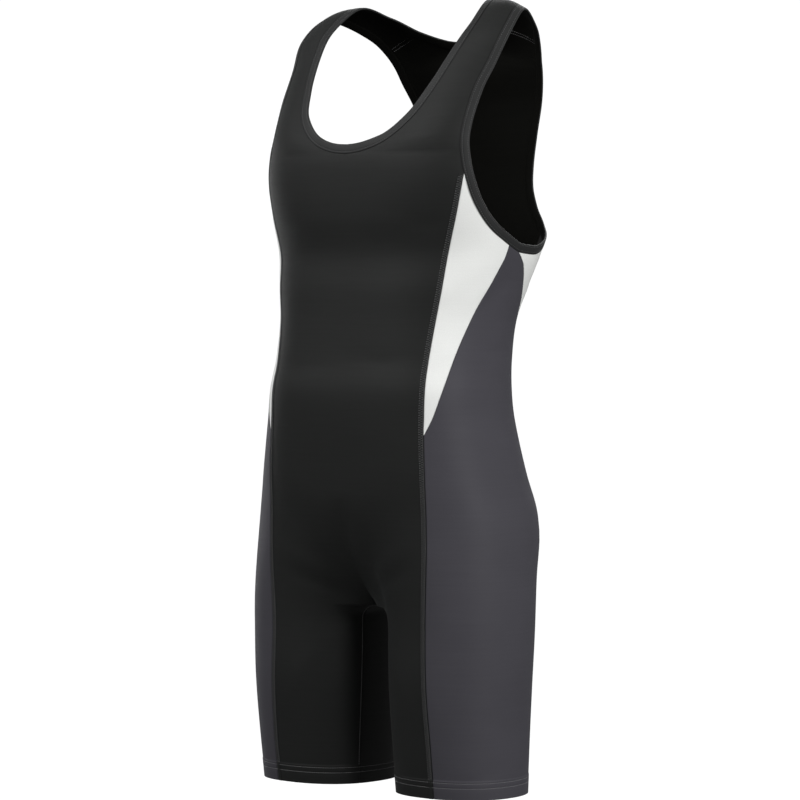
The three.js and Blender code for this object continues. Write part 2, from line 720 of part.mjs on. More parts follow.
const rowsOf = {
  front: frontRows(),
  back: backRows(),
  frontInsert: frontInsertRows(),
  backInsert: backInsertRows(),
  side: sideRows(),
};

// The neck binding's loop, from the centre front over the left shoulder and back round
function neckLoop() {
  const chestRow = rowsOf.front.length - shoulderStations(0, shoulderSeamRow).length;
  const front = rowsOf.front.slice(chestRow).map((row) => row[0]);
  const yoke = rowsOf.back.slice(sharedLevels.length + backLevels.length);
  const lowest = shoulderRows.at(-1).neckZ - 1;
  const back = yoke.map((row) => row[row.length - 1]).filter((spot) => spot.point.z > lowest);
  const left = [...front, ...back.reverse()];
  const right = left.slice(1, -1).map(mirrorPlace).reverse();
  return thin([...left, ...right], bindingSpacing);
}

// The left armhole binding's loop, from under the arm up the front and down the back
function armholeLoop() {
  const insertEnds = rowsOf.frontInsert.slice(insertLevels.length, -1).map((row) => row[row.length - 1]);
  const tipRow = sharedLevels.length + frontLevels.indexOf(frontTipZ);
  const frontEnds = rowsOf.front.slice(tipRow).map((row) => row[row.length - 1]);
  const backTipRow = sharedLevels.length + backLevels.indexOf(backTipZ);
  const backEnds = rowsOf.back.slice(backTipRow).map((row) => row[0]).reverse();
  const backInsertEnds = rowsOf.backInsert.slice(-backUnderarm.length, -1).map((row) => row[0]).reverse();
  const sideTop = rowsOf.side[rowsOf.side.length - 1].slice().reverse();
  const loop = [...insertEnds, ...frontEnds, ...backEnds, ...backInsertEnds, ...sideTop];
  return thin(loop, bindingSpacing);
}

const cloth = (color) => new THREE.MeshStandardMaterial({ color, roughness: 0.62, metalness: 0 });
const singlet = new THREE.Group();

function addPiece(name, geometry, color) {
  const mesh = new THREE.Mesh(geometry, cloth(color));
  mesh.name = name;
  singlet.add(mesh);
}

function addPanel(name, rows, sides, color) {
  const sheet = new Sheet();
  for (const side of sides) sheet.addRows(rows, side === 'right');
  addPiece(name, sheet.thicken(), color);
}

addPanel('front_panel', rowsOf.front, ['left', 'right'], black);
addPanel('back_panel', rowsOf.back, ['left', 'right'], black);
addPiece('neck_binding', bindingSolid(neckLoop(), neckBinding, -1), bindingBlack);
for (const side of ['left', 'right']) {
  addPanel(`side_panel_${side}`, rowsOf.side, [side], charcoal);
  addPanel(`front_insert_${side}`, rowsOf.frontInsert, [side], white);
  addPanel(`back_insert_${side}`, rowsOf.backInsert, [side], white);
  const onLeft = side === 'left';
  const loop = onLeft ? armholeLoop() : armholeLoop().map(mirrorPlace);
  const strip = bindingSolid(loop, armholeBinding, onLeft ? 1 : -1);
  addPiece(`armhole_binding_${side}`, strip, bindingBlack);
}

export default singlet;
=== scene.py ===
import math
import bpy
import numpy as np
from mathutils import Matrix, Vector


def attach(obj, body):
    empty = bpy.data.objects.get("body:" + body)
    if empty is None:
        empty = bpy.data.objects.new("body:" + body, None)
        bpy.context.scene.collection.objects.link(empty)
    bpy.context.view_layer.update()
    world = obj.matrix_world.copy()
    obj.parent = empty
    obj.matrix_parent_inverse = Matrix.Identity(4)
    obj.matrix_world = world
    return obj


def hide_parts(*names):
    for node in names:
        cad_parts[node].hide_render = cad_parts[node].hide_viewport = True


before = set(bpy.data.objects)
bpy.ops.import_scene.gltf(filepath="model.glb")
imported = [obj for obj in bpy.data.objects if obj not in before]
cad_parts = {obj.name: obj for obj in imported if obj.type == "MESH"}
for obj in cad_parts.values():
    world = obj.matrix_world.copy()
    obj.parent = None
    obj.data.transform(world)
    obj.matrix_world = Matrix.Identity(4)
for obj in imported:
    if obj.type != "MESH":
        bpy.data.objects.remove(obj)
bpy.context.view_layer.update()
scene = bpy.context.scene

# Camera: from the garment's left front, as in the photo
view = {
    "azimuth": 42, "distance": 4.2, "height": -0.317, "aimSide": -0.0304, "aimHeight": -0.444, "lens": 168,
    "sensor": 36, "clipEnd": 50,
}
turn = math.radians(view["azimuth"])
eye = Vector((math.sin(turn), -math.cos(turn), 0)) * view["distance"] + Vector((0, 0, view["height"]))
aim = Vector((math.cos(turn), math.sin(turn), 0)) * view["aimSide"] + Vector((0, 0, view["aimHeight"]))
cameraData = bpy.data.cameras.new("camera")
cameraData.lens = view["lens"]
cameraData.sensor_width = view["sensor"]
cameraData.clip_end = view["clipEnd"]
camera = bpy.data.objects.new("camera", cameraData)
camera.location = eye
camera.rotation_euler = (aim - eye).to_track_quat("-Z", "Y").to_euler()
scene.collection.objects.link(camera)
scene.camera = camera

# Sizes of the cut, the same as the part's, in millimetres. They become metres as each mesh is made.
metre = 0.001
cut = {
    "hemZ": -872, "hemDepth": 20, "chestZ": -170, "napeZ": -75, "underarmZ": -292, "frontTipZ": -193,
    "backTipZ": -257, "insertFootZ": -477, "neckBinding": 10, "armholeBinding": 9.5,
}
fork = {
    "topZ": -545, "z": -670, "y": -77, "archDrop": 16, "turn": 0.05, "web": 0.08, "webRadius": 45,
    "reach": 22, "frontPower": 1.45, "backPower": 2, "frontSoft": 1.3, "backSoft": 1.75, "softFall": 25,
    "spread": 0.07,
}
thighBlend = {"topZ": -540, "footZ": -690}

# Trunk: level, half width, front, side and back depth, squareness in front and behind
trunkRows = [
    (-40, 170, -86, -4, 74, 2.8, 2.8), (-75, 171, -101, -8, 83, 2.8, 2.8),
    (-110, 171, -116, -14, 95, 2.7, 2.7), (-170, 170, -134, -22, 97.5, 2.95, 2.8),
    (-200, 170, -136.5, -24, 95.5, 3, 2.85),
    (-240, 167, -135.5, -28, 88, 2.75, 2.6), (-281, 160, -131, -31, 77, 2.65, 2.4),
    (-320, 148, -134.5, -40, 66, 2.95, 2.35), (-355, 141.5, -137, -48, 55, 3.0, 2.3),
    (-398, 141.5, -141.5, -56, 48, 3.1, 2.3), (-430, 144.5, -147, -61, 46, 3.2, 2.3),
    (-462, 147.5, -147.7, -61, 49, 3.2, 2.3), (-522, 160, -146, -56, 59, 3.1, 2.3),
    (-565, 171, -144, -50, 70, 2.9, 2.3), (-600, 175, -144.5, -46, 77, 2.8, 2.3),
    (-640, 175, -144.5, -48, 75, 2.8, 2.3), (-700, 175, -142, -50, 74, 2.8, 2.3),
]
# Legs: level, centre, half width, depth in front and behind
legRows = [
    (-540, 103, -54, 78, 81, 88), (-690, 103, -59, 78.5, 72, 85.5), (-755, 102.5, -59, 76.5, 72.5, 82),
    (-820, 102, -58, 73.5, 68, 78.5), (-900, 101, -56, 70.5, 60, 75),
]
legSquare, legInnerSquare = 2.35, 2.5
# Seams and edges: level, x, y
frontSeam = [
    (-170, 153.5, -100), (-193, 147.3, -103.4), (-240, 137, -105.5), (-281, 126, -106), (-320, 122, -112),
    (-355, 117, -116.5), (-398, 113.5, -124), (-430, 114.5, -131), (-477, 115, -133), (-522, 116.5, -133),
    (-600, 118, -132), (-690, 115, -129.5), (-755, 116.5, -129), (-820, 118, -123), (-872, 117.5, -118),
]
backSeam = [
    (-240, 119, 63), (-275, 115, 62), (-344, 109, 48), (-430, 102, 36), (-522, 104, 46), (-600, 112, 52),
    (-690, 115, 32), (-790, 113, 24), (-872, 112, 20),
]
frontInsertEdge = [
    (-275, 162, -44), (-310, 151, -60), (-331, 144, -71), (-355, 139, -84), (-380, 135, -97),
    (-408, 132, -110), (-438, 128, -122), (-459, 123, -128), (-477, 115, -133),
]
backInsertEdge = [
    (-275, 165, -28), (-295, 157, -13), (-317, 147, 0), (-344, 136, 14), (-385, 124, 27), (-435, 111, 33),
    (-477, 103, 41),
]
frontArmhole = [
    (-271, 160, -46), (-257, 159, -69), (-240, 157, -85.5), (-218, 152, -97), (-193, 147.3, -103.4),
    (-183, 145.5, -104.5), (-170, 143, -104),
]
backArmhole = [
    (-257, 117, 66), (-240, 95, 82), (-226, 82, 87), (-208, 72, 91), (-186, 69, 94), (-150, 75, 93),
    (-110, 87, 88), (-75, 99, 75.5),
]
backUnderarm = [(-279, 167, -28), (-281, 166, 6), (-272, 147, 40), (-257, 117, 66)]
# Shoulder: neck end, arm end, bow of the cloth between them
shoulderRows = [
    (48, -130, -160, 141, -101, -150, 4), (82, -117, -133, 141, -92, -125, 3),
    (98, -96, -99, 142, -79, -98, 2.5), (108, -72, -62, 146, -62, -70, 2.5),
    (113, -45, -28, 150, -41, -34, 2.5), (105, -6, 0, 141, -6, -8, 2.5),
    (94, 36, -11, 121.5, 40, -24, 2.5), (68, 57, -29, 109, 60.5, -45, 2.5), (36, 74, -43, 103, 69.5, -60, 3),
    (0, 79, -48, 100.5, 73.5, -69, 5),
]
shoulderSeamRow = 8
strapFadeRows = 3
mirror = (-1, 1, 1)
flips = {"left": (1, 1, 1), "right": mirror}


def smooth(t):
    t = np.clip(t, 0, 1)
    return t * t * (3 - 2 * t)


def unit(vectors):
    return vectors / np.maximum(np.linalg.norm(vectors, axis=-1, keepdims=True), 1e-9)


def lengthsAlong(points):
    return np.concatenate([[0], np.cumsum(np.linalg.norm(np.diff(points, axis=0), axis=1))])


# Reads points at some lengths along their line
def readAlong(lengths, points, at):
    return np.stack([np.interp(at, lengths, points[:, k]) for k in range(3)], -1)


# Reads a table at a level by a curve through its rows
def readTable(table, z):
    rows = np.array(sorted(table, reverse=True), float)
    level = min(max(z, rows[-1, 0]), rows[0, 0])
    i = 0
    while i < len(rows) - 2 and rows[i + 1, 0] > level:
        i += 1

    def slope(k):
        a, b = rows[max(k - 1, 0)], rows[min(k + 1, len(rows) - 1)]
        return (b[1:] - a[1:]) / (b[0] - a[0])

    low, high = rows[i], rows[i + 1]
    span = high[0] - low[0]
    t = (level - low[0]) / span
    start, end, rise = slope(i) * span, slope(i + 1) * span, high[1:] - low[1:]
    return low[1:] + start * t + (3 * rise - 2 * start - end) * t**2 + (start + end - 2 * rise) * t**3


# A run of points at one level, read by the share of its length
class Run:
    def __init__(self, x, y):
        steps = np.hypot(np.diff(x), np.diff(y))
        self.x, self.y = x, y
        self.lengths = np.concatenate([[0], np.cumsum(steps)])
        self.total = self.lengths[-1]

    def at(self, share):
        target = np.clip(share, 0, 1) * self.total
        return np.interp(target, self.lengths, self.x), np.interp(target, self.lengths, self.y)


contourSteps = 1440
runs = {}


def runsAt(z):
    key = round(z, 3)
    if key not in runs:
        halfWidth, frontY, sideY, backY, frontSquare, backSquare = readTable(trunkRows, z)
        angle = np.linspace(0, math.pi, contourSteps + 1)
        power = np.where(angle < math.pi / 2, 2 / frontSquare, 2 / backSquare)
        depth = np.where(angle < math.pi / 2, frontY, backY) - sideY
        trunkX = halfWidth * np.clip(np.sin(angle), 0, None) ** power
        trunk = Run(trunkX, sideY + depth * np.abs(np.cos(angle)) ** power)
        centreX, centreY, legWidth, frontDepth, backDepth = readTable(legRows, z)
        inseam = math.asin(((centreY - fork["y"]) / frontDepth) ** (legSquare / 2))
        angle = inseam + np.linspace(0, 2 * math.pi, contourSteps + 1)
        inFront = np.sin(angle) > 0
        power = np.where(inFront, 2 / legSquare, np.where(np.cos(angle) > 0, 2 / legInnerSquare, 1))
        across = np.sign(np.cos(angle)) * np.abs(np.cos(angle)) ** power
        along = np.sign(np.sin(angle)) * np.abs(np.sin(angle)) ** power
        leg = Run(centreX - legWidth * across, centreY - np.where(inFront, frontDepth, backDepth) * along)
        runs[key] = trunk, leg
    return runs[key]


def forkShare(z, power):
    fall = min(max((fork["topZ"] - z) / (fork["topZ"] - fork["z"]), 0), 1)
    return 1 - (1 - fall**power) ** (1 / power)


def forkLevel(share):
    return fork["topZ"] - math.sqrt(1 - (1 - share) ** 2) * (fork["topZ"] - fork["z"])


# Points on the left half at one level, from the centre front or inseam at 0 to the back at 1
def surfaceAt(share, z):
    share = np.asarray(share, float)
    flip = np.ones(share.shape)
    if z <= fork["z"]:
        share = np.where(share < 0, share + 1, np.where(share > 1, share - 1, share))
    else:
        flip = np.where((share < 0) | (share > 1), -1.0, 1.0)
        share = np.where(share < 0, -share, np.where(share > 1, 2 - share, share))
    trunk, leg = runsAt(z)
    nearEnd = np.minimum(share, 1 - share)
    sharp = np.where(share < 0.5, forkShare(z, fork["frontPower"]), forkShare(z, fork["backPower"]))
    fall = min(max((fork["topZ"] - z) / (fork["topZ"] - fork["z"] + fork["softFall"]), 0), 1)
    soft = smooth(fall ** np.where(share < 0.5, fork["frontSoft"], fork["backSoft"]))
    drawn = sharp + (soft - sharp) * smooth(nearEnd / fork["spread"])
    softTurn = fork["turn"] * (1 - drawn)
    eased = 0.5 * (np.hypot(nearEnd, softTurn) - softTurn) / (np.hypot(0.5, softTurn) - softTurn)
    trunkX, trunkY = trunk.at(share)
    legX, legY = leg.at(np.where(share < 0.5, eased, 1 - eased))
    below = min(max((fork["z"] - z) / fork["archDrop"], 0), 1)
    arch = 1 - math.sqrt(1 - (1 - below) ** 2)
    web = np.cos(math.pi / 2 * np.minimum(1, nearEnd / fork["web"])) ** 2
    touchX = (nearEnd * leg.total) ** 2 / (2 * fork["webRadius"])
    innerX = legX + (touchX - legX) * arch * web
    around = 1 - np.abs(np.cos(math.pi * share)) ** fork["reach"]
    thigh = float(smooth((thighBlend["topZ"] - z) / (thighBlend["topZ"] - thighBlend["footZ"])))
    legged = drawn + (thigh - drawn) * around
    x = (trunkX + (innerX - trunkX) * legged) * flip
    return np.stack([x, trunkY + (legY - trunkY) * legged, np.full(share.shape, float(z))], -1)


def surfaceNormals(share, z):
    across = surfaceAt(share + 0.004, z) - surfaceAt(share - 0.004, z)
    up = surfaceAt(share, z + 1) - surfaceAt(share, z - 1)
    normal = unit(np.cross(across, up))
    if z > fork["z"]:
        normal[(share == 0) | (share == 1), 0] = 0
    return unit(normal)


def nearestShare(z, x, y):
    steps = 720
    shares = np.linspace(0, 1, steps + 1)
    points = surfaceAt(shares, z)
    best = int(np.argmin(np.hypot(points[:, 0] - x, points[:, 1] - y)))
    low, high = max(best - 1, 0), min(best + 1, steps)
    along = points[high, :2] - points[low, :2]
    reach = np.dot(np.array([x, y]) - points[low, :2], along) / np.dot(along, along)
    return shares[low] + (shares[high] - shares[low]) * min(max(reach, 0), 1)


def edgeShare(table, z):
    x, y = readTable(table, z)
    return nearestShare(z, x, y)


# The cloth over the shoulder, from the chest row at 0 to the nape row
def spline(p0, p1, p2, p3, t):
    pull, push = p2 - p0, p3 - p1
    gap = p2 - p1
    return p1 + 0.5 * (pull * t + (6 * gap - 2 * pull - push) * t**2 + (pull + push - 4 * gap) * t**3)


class Shoulder:
    def __init__(self):
        self.chest = self.joined(cut["chestZ"], frontArmhole, 0)
        self.nape = self.joined(cut["napeZ"], backArmhole, 1)
        underChest = self.joined(cut["chestZ"] - 25, frontArmhole, 0)
        underNape = self.joined(cut["napeZ"] - 25, backArmhole, 1)
        middle = [(np.array(row[:3], float), np.array(row[3:6], float), row[6]) for row in shoulderRows]
        self.rows = [underChest, self.chest, *middle, self.nape, underNape]
        self.last = len(self.rows) - 3

    def joined(self, z, table, middle):
        share = edgeShare(table, z)
        return surfaceAt([middle], z)[0], surfaceAt([share], z)[0], 0, share

    def edge(self, t, end):
        i = min(int(t), self.last - 1)
        four = [self.rows[i + k][end] for k in range(4)]
        if end == 0 and i == 0:
            four[0] = four[2] * mirror
        if end == 0 and i == self.last - 2:
            four[3] = four[1] * mirror
        if end == 0 and i == self.last - 1:
            four[0] = 2 * four[1] - four[2]
        return spline(*four, t - i)

    def bulge(self, row, front, u):
        share = u * row[3] if front else 1 - u * (1 - row[3])
        level = cut["chestZ"] if front else cut["napeZ"]
        return surfaceAt(share, level) - (row[0] + (row[1] - row[0]) * u[:, None])

    def points(self, t, u):
        neck, arm = self.edge(t, 0), self.edge(t, 1)
        low, high = max(t - 0.05, 0), min(t + 0.05, self.last)
        travel = (self.edge(high, 0) + self.edge(high, 1) - self.edge(low, 0) - self.edge(low, 1)) / 2
        fromChest = 1 - float(smooth(t / strapFadeRows))
        fromNape = 1 - float(smooth((self.last - t) / strapFadeRows))
        i = min(int(t), self.last - 1)
        bow = self.rows[i + 1][2] + (self.rows[i + 2][2] - self.rows[i + 1][2]) * (t - i)
        outward = unit(np.cross(arm - neck, travel))
        lift = bow * (1 - fromChest - fromNape) * 4 * u * (1 - u)
        # Leans back from the chest row at about the slope that the chest has just below it.
        lean = 3.4 * t * max(0, 1 - t / 1.5) ** 2 * 4 * u * (1 - u)
        return (neck + (arm - neck) * u[:, None] + self.bulge(self.chest, True, u) * fromChest
                + self.bulge(self.nape, False, u) * fromNape + outward * lift[:, None]
                + lean[:, None] * np.array([0, 1, 0]))

    def normals(self, t, u):
        inside = np.clip(u, 0.35, 0.65)
        across = self.points(t, inside + 0.02) - self.points(t, inside - 0.02)
        along = self.points(min(t + 0.04, self.last), inside) - self.points(max(t - 0.04, 0), inside)
        outward = unit(np.cross(across, along))
        here = unit(self.points(t, np.minimum(u + 0.02, 1)) - self.points(t, np.maximum(u - 0.02, 0)))
        rise = np.sum(here * outward, -1, keepdims=True)
        outward = unit(outward - unit(across) * rise)
        if abs(self.edge(t, 0)[0]) < 1e-6:
            outward[u == 0, 0] = 0
        return unit(outward)


shoulder = Shoulder()
print("stage: cut and surfaces ready")

# Soft creases, one by one: side, points on the cloth as (share, level), half width and rise in mm
# A rise below 0 is a trough.
creases = [
    ("left", [(0.19, -244), (0.24, -249), (0.295, -246)], 10, -0.8),
    ("right", [(0.18, -250), (0.23, -254), (0.29, -251)], 10, -0.7),
    ("left", [(0.47, -300), (0.43, -318), (0.38, -332)], 7, 0.7),
    ("left", [(0.50, -312), (0.46, -334), (0.40, -350)], 9, -0.6),
    ("left", [(0.60, -296), (0.64, -318), (0.70, -330)], 8, 0.6),
    ("right", [(0.46, -298), (0.42, -320), (0.36, -338)], 8, 0.6),
    ("right", [(0.55, -300), (0.61, -322), (0.68, -340)], 8, -0.6),
    ("left", [(0.44, -380), (0.52, -388), (0.60, -386)], 8, -0.7),
    ("left", [(0.47, -402), (0.55, -406), (0.62, -400)], 7, 0.5),
    ("right", [(0.42, -384), (0.50, -394), (0.58, -392)], 8, -0.7),
    ("right", [(0.45, -410), (0.53, -412), (0.61, -405)], 7, 0.5),
    ("left", [(0.02, -392), (0.14, -398), (0.26, -394)], 10, -0.6),
    ("right", [(0.04, -402), (0.16, -410), (0.28, -405)], 10, -0.5),
    ("left", [(0.06, -640), (0.13, -618), (0.22, -600)], 9, 0.9),
    ("left", [(0.05, -655), (0.12, -640), (0.20, -626)], 8, -0.9),
    ("right", [(0.05, -642), (0.13, -622), (0.23, -606)], 9, 0.9),
    ("right", [(0.04, -660), (0.11, -646), (0.19, -634)], 8, -0.9),
    ("left", [(0.95, -652), (0.86, -650), (0.76, -640)], 10, -1.0),
    ("right", [(0.95, -655), (0.87, -654), (0.78, -646)], 10, -0.9),
    ("left", [(0.90, -400), (0.80, -404), (0.72, -398)], 10, -0.8),
    ("right", [(0.92, -412), (0.83, -416), (0.74, -410)], 10, -0.7),
    ("left", [(0.97, -385), (0.88, -380), (0.80, -372)], 8, 0.6),
    ("left", [(0.30, -860), (0.38, -842), (0.45, -830)], 8, -0.5),
    ("right", [(0.35, -862), (0.44, -846), (0.52, -838)], 8, -0.5),
    ("left", [(0.08, -700), (0.14, -735), (0.18, -775)], 10, 0.5),
    ("right", [(0.08, -705), (0.15, -742), (0.19, -790)], 10, 0.5),
]


def creasePath(side, spots):
    knots = np.array(spots, float)
    t = np.linspace(0, len(knots) - 1, 19)
    shares = np.interp(t, np.arange(len(knots)), knots[:, 0])
    levels = np.interp(t, np.arange(len(knots)), knots[:, 1])
    path = np.array([surfaceAt([s], z)[0] for s, z in zip(shares, levels)])
    return path * flips[side]


creasePaths = [(creasePath(side, spots), width, rise) for side, spots, width, rise in creases]


def creaseLift(points):
    lift = np.zeros(len(points))
    for path, width, rise in creasePaths:
        near = np.all((points > path.min(0) - 3 * width) & (points < path.max(0) + 3 * width), axis=1)
        if not near.any():
            continue
        gap = points[near][:, None] - path[None]
        away = np.linalg.norm(gap, axis=-1)
        taper = np.sin(math.pi * np.linspace(0.06, 0.94, len(path)))
        lift[near] += rise * np.max(np.exp(-(away / width) ** 2) * taper, axis=1)
    # The cloth is never quite even: long, very shallow waves over all of it.
    x, y, z = points.T
    lift += 0.18 * np.sin(x / 31 + z / 47 + 1.3) * np.sin(y / 38 - z / 61)
    return lift


# Panels are rows of places. A row is (points, normals), and each of its ends is (share, level).
def surfaceRow(left, right, spacing):
    shares = left[0] + (right[0] - left[0]) * spacing
    levels = left[1] + (right[1] - left[1]) * spacing
    if left[1] == right[1]:
        return surfaceAt(shares, left[1]), surfaceNormals(shares, left[1])
    points = np.array([surfaceAt([s], z)[0] for s, z in zip(shares, levels)])
    normals = np.array([surfaceNormals(np.array([s]), z)[0] for s, z in zip(shares, levels)])
    return points, normals


shortRow = 24


# Columns across a panel: close together by a seam, even between
def columnShares(count, length):
    close = np.array([0, 0.5, 1.1, 1.7, 2.4, 3.8, 5.0, 5.6, 6.2, 6.9, 8.6]) / max(length, shortRow)
    middle = np.linspace(close[-1], 1 - close[-1], count + 2)[1:-1]
    return np.concatenate([close, middle, 1 - close[::-1]])


def stepLevels(start, end, step):
    return list(np.linspace(start, end, max(1, round(abs(end - start) / step)) + 1)[:-1])


hemTop = cut["hemZ"] + cut["hemDepth"]
hemStitchLevels = [hemTop - 1.6, hemTop - 7.2]
rowStep = 5
archParts = (1, 0.82, 0.66, 0.5, 0.36, 0.24, 0.14, 0.07, 0.02)
archLevels = [fork["z"] - part * fork["archDrop"] for part in archParts]
forkLevels = [forkLevel(share) for share in np.linspace(1, 0.05, 26)]
bodyLevels = sorted({
    cut["hemZ"], cut["hemZ"] + 0.7, cut["hemZ"] + 1.6, cut["hemZ"] + 4, cut["hemZ"] + 8,
    *[level + away for level in hemStitchLevels for away in (-1.0, -0.5, 0, 0.5, 1.0)],
    hemTop, hemTop + 0.4, hemTop + 0.9, hemTop + 1.5, hemTop + 2.5, hemTop + 4.5,
    *stepLevels(hemTop + 8, archLevels[0], rowStep), *archLevels, *forkLevels,
    *stepLevels(forkLevel(0.02), cut["insertFootZ"], rowStep),
    *stepLevels(cut["insertFootZ"], cut["underarmZ"], rowStep), cut["underarmZ"],
})
aboveUnderarm = -288
chestLevels = [
    *stepLevels(aboveUnderarm, cut["frontTipZ"], 4), *stepLevels(cut["frontTipZ"], cut["chestZ"], 3.5),
    cut["chestZ"],
]
yokeLevels = [
    *stepLevels(aboveUnderarm, cut["backTipZ"], 4), *stepLevels(cut["backTipZ"], -226, 3),
    *stepLevels(-226, -90, 4.5), *stepLevels(-90, cut["napeZ"], 4), cut["napeZ"],
]
panelColumns, insertColumns, sideColumns = 26, 8, 34
strapLength = 140
frontStations = np.linspace(0, shoulderSeamRow, 81)[1:]
backStations = np.linspace(shoulder.last, shoulderSeamRow, 41)[1:]


def frontEdge(z):
    return edgeShare(frontSeam if z < cut["frontTipZ"] else frontArmhole, z)


def backEdge(z):
    return edgeShare(backSeam if z < cut["backTipZ"] else backArmhole, z)


def turnedIn(z, table, corner):
    if z <= cut["underarmZ"]:
        return edgeShare(table, z)
    part = (z - cut["underarmZ"]) / (corner[0] - cut["underarmZ"])
    return edgeShare(table, cut["underarmZ"]) * (1 - part) + nearestShare(*corner) * part


def panelRow(left, right, z, columns):
    length = abs(right[0] - left[0]) * runsAt(z)[0].total
    return surfaceRow(left, right, columnShares(columns, length))


def strapRows(stations, columns):
    return [(shoulder.points(t, columns), shoulder.normals(t, columns)) for t in stations]


def frontRows():
    rows = [panelRow((0, z), (frontEdge(z), z), z, panelColumns) for z in [*bodyLevels, *chestLevels]]
    return rows + strapRows(frontStations, columnShares(panelColumns, strapLength))


def backRows():
    rows = [panelRow((backEdge(z), z), (1, z), z, panelColumns) for z in [*bodyLevels, *yokeLevels]]
    return rows + strapRows(backStations, 1 - columnShares(panelColumns, strapLength))


insertLevels = [z for z in bodyLevels if z >= cut["insertFootZ"]]
frontCorner, backCorner = frontArmhole[0], backUnderarm[0]


def frontInsertRows():
    rows = []
    upper = [
        aboveUnderarm, -284, -280, -275, *stepLevels(-271, -257, 3.5),
        *stepLevels(-257, cut["frontTipZ"], 4), cut["frontTipZ"],
    ]
    for z in [*insertLevels, *upper]:
        cornerLevels = [cut["underarmZ"], frontCorner[0], -257]
        outerZ = float(np.interp(z, [cut["underarmZ"], -275, -257], cornerLevels))
        outerZ = outerZ if cut["underarmZ"] < z < -257 else z
        left = edgeShare(frontSeam, z)
        if outerZ < frontCorner[0]:
            right = turnedIn(outerZ, frontInsertEdge, frontCorner)
        else:
            right = edgeShare(frontArmhole, outerZ)
        right = max(left, right)
        rows.append(panelRow((left, z), (right, outerZ), z, insertColumns))
    return rows


def backInsertRows():
    rows = []
    seamTop = cut["underarmZ"] - 19
    outer = [(min(edgeShare(backInsertEdge, z), edgeShare(backSeam, z)), z) for z in insertLevels]
    share = np.interp(insertLevels, [insertLevels[0], insertLevels[-1]], [0, 1])
    seams = [cut["insertFootZ"] + (seamTop - cut["insertFootZ"]) * part for part in share]
    corners = [outer[-1], *[(nearestShare(z, x, y), z) for z, x, y in backUnderarm]]
    knots = np.array([corners[0], *corners, corners[-1]])
    for part in np.linspace(0, 1, 33)[1:]:
        t = part * (len(corners) - 1)
        i = min(int(t), len(corners) - 2)
        four = [knots[i + k] for k in range(4)]
        spot = four[1] + (four[2] - four[1]) * (t - i) if i <= 1 else spline(*four, t - i)
        outer.append((spot[0], spot[1]))
        seams.append(seamTop + (cut["backTipZ"] - seamTop) * part)
    for edge, z in zip(outer, seams):
        right = edgeShare(backSeam, z)
        left = min(edge[0], right)
        rows.append(panelRow((left, edge[1]), (right, z), z, insertColumns))
    return rows


def sideRows():
    rows = []
    for z in bodyLevels:
        front = frontSeam if z < cut["insertFootZ"] else frontInsertEdge
        back = backSeam if z < cut["insertFootZ"] else backInsertEdge
        rows.append(panelRow((edgeShare(front, z), z), (edgeShare(back, z), z), z, sideColumns))
    for part in np.linspace(0, 1, 6)[1:]:
        leftZ = cut["underarmZ"] + (frontCorner[0] - cut["underarmZ"]) * part
        rightZ = cut["underarmZ"] + (backCorner[0] - cut["underarmZ"]) * part
        left = turnedIn(leftZ, frontInsertEdge, frontCorner)
        right = turnedIn(rightZ, backInsertEdge, backCorner)
        rows.append(surfaceRow((left, leftZ), (right, rightZ), columnShares(sideColumns, shortRow)))
    return rows


rowsOf = {
    "front": frontRows(), "back": backRows(), "frontInsert": frontInsertRows(),
    "backInsert": backInsertRows(), "side": sideRows(),
}
print("stage: rows laid out")


# How far the cloth stands out at a place, by its distances to the seams beside it
def seamRelief(distance, ridge):
    groove = -0.4 * np.exp(-(distance / 0.55) ** 2)
    band = ridge * smooth((distance - 0.5) / 1.0) * (1 - smooth((distance - 5.4) / 1.6))
    return groove + band


# Painted light beside a seam, added to 1: painted shade in the seam's groove and along the flatlock band's
# outer edge, and a painted highlight on the raised band; 0 is plain cloth
def seamPaintedLight(distance, ridge):
    line = (0.7 if ridge else 0.55) * np.exp(-(distance / 0.55) ** 2)
    if ridge == 0:
        return -line
    band = 0.24 * smooth((distance - 0.8) / 0.8) * (1 - smooth((distance - 4.9) / 0.7))
    return band - line - 0.6 * np.exp(-((distance - 5.9) / 0.55) ** 2)


# Painted shade on a panel, just in from the edge that a binding covers
def edgePaintedShade(distance):
    return -0.8 * np.exp(-((distance - 1.2) / 0.75) ** 2)


def hemRelief(z):
    proud = 0.5 * (1 - smooth((z - hemTop) / 1.5))
    for level in hemStitchLevels:
        proud = proud - 0.22 * np.exp(-((z - level) / 0.6) ** 2)
    return proud


cloth = {"thickness": 0.9, "hemInside": 0.8}


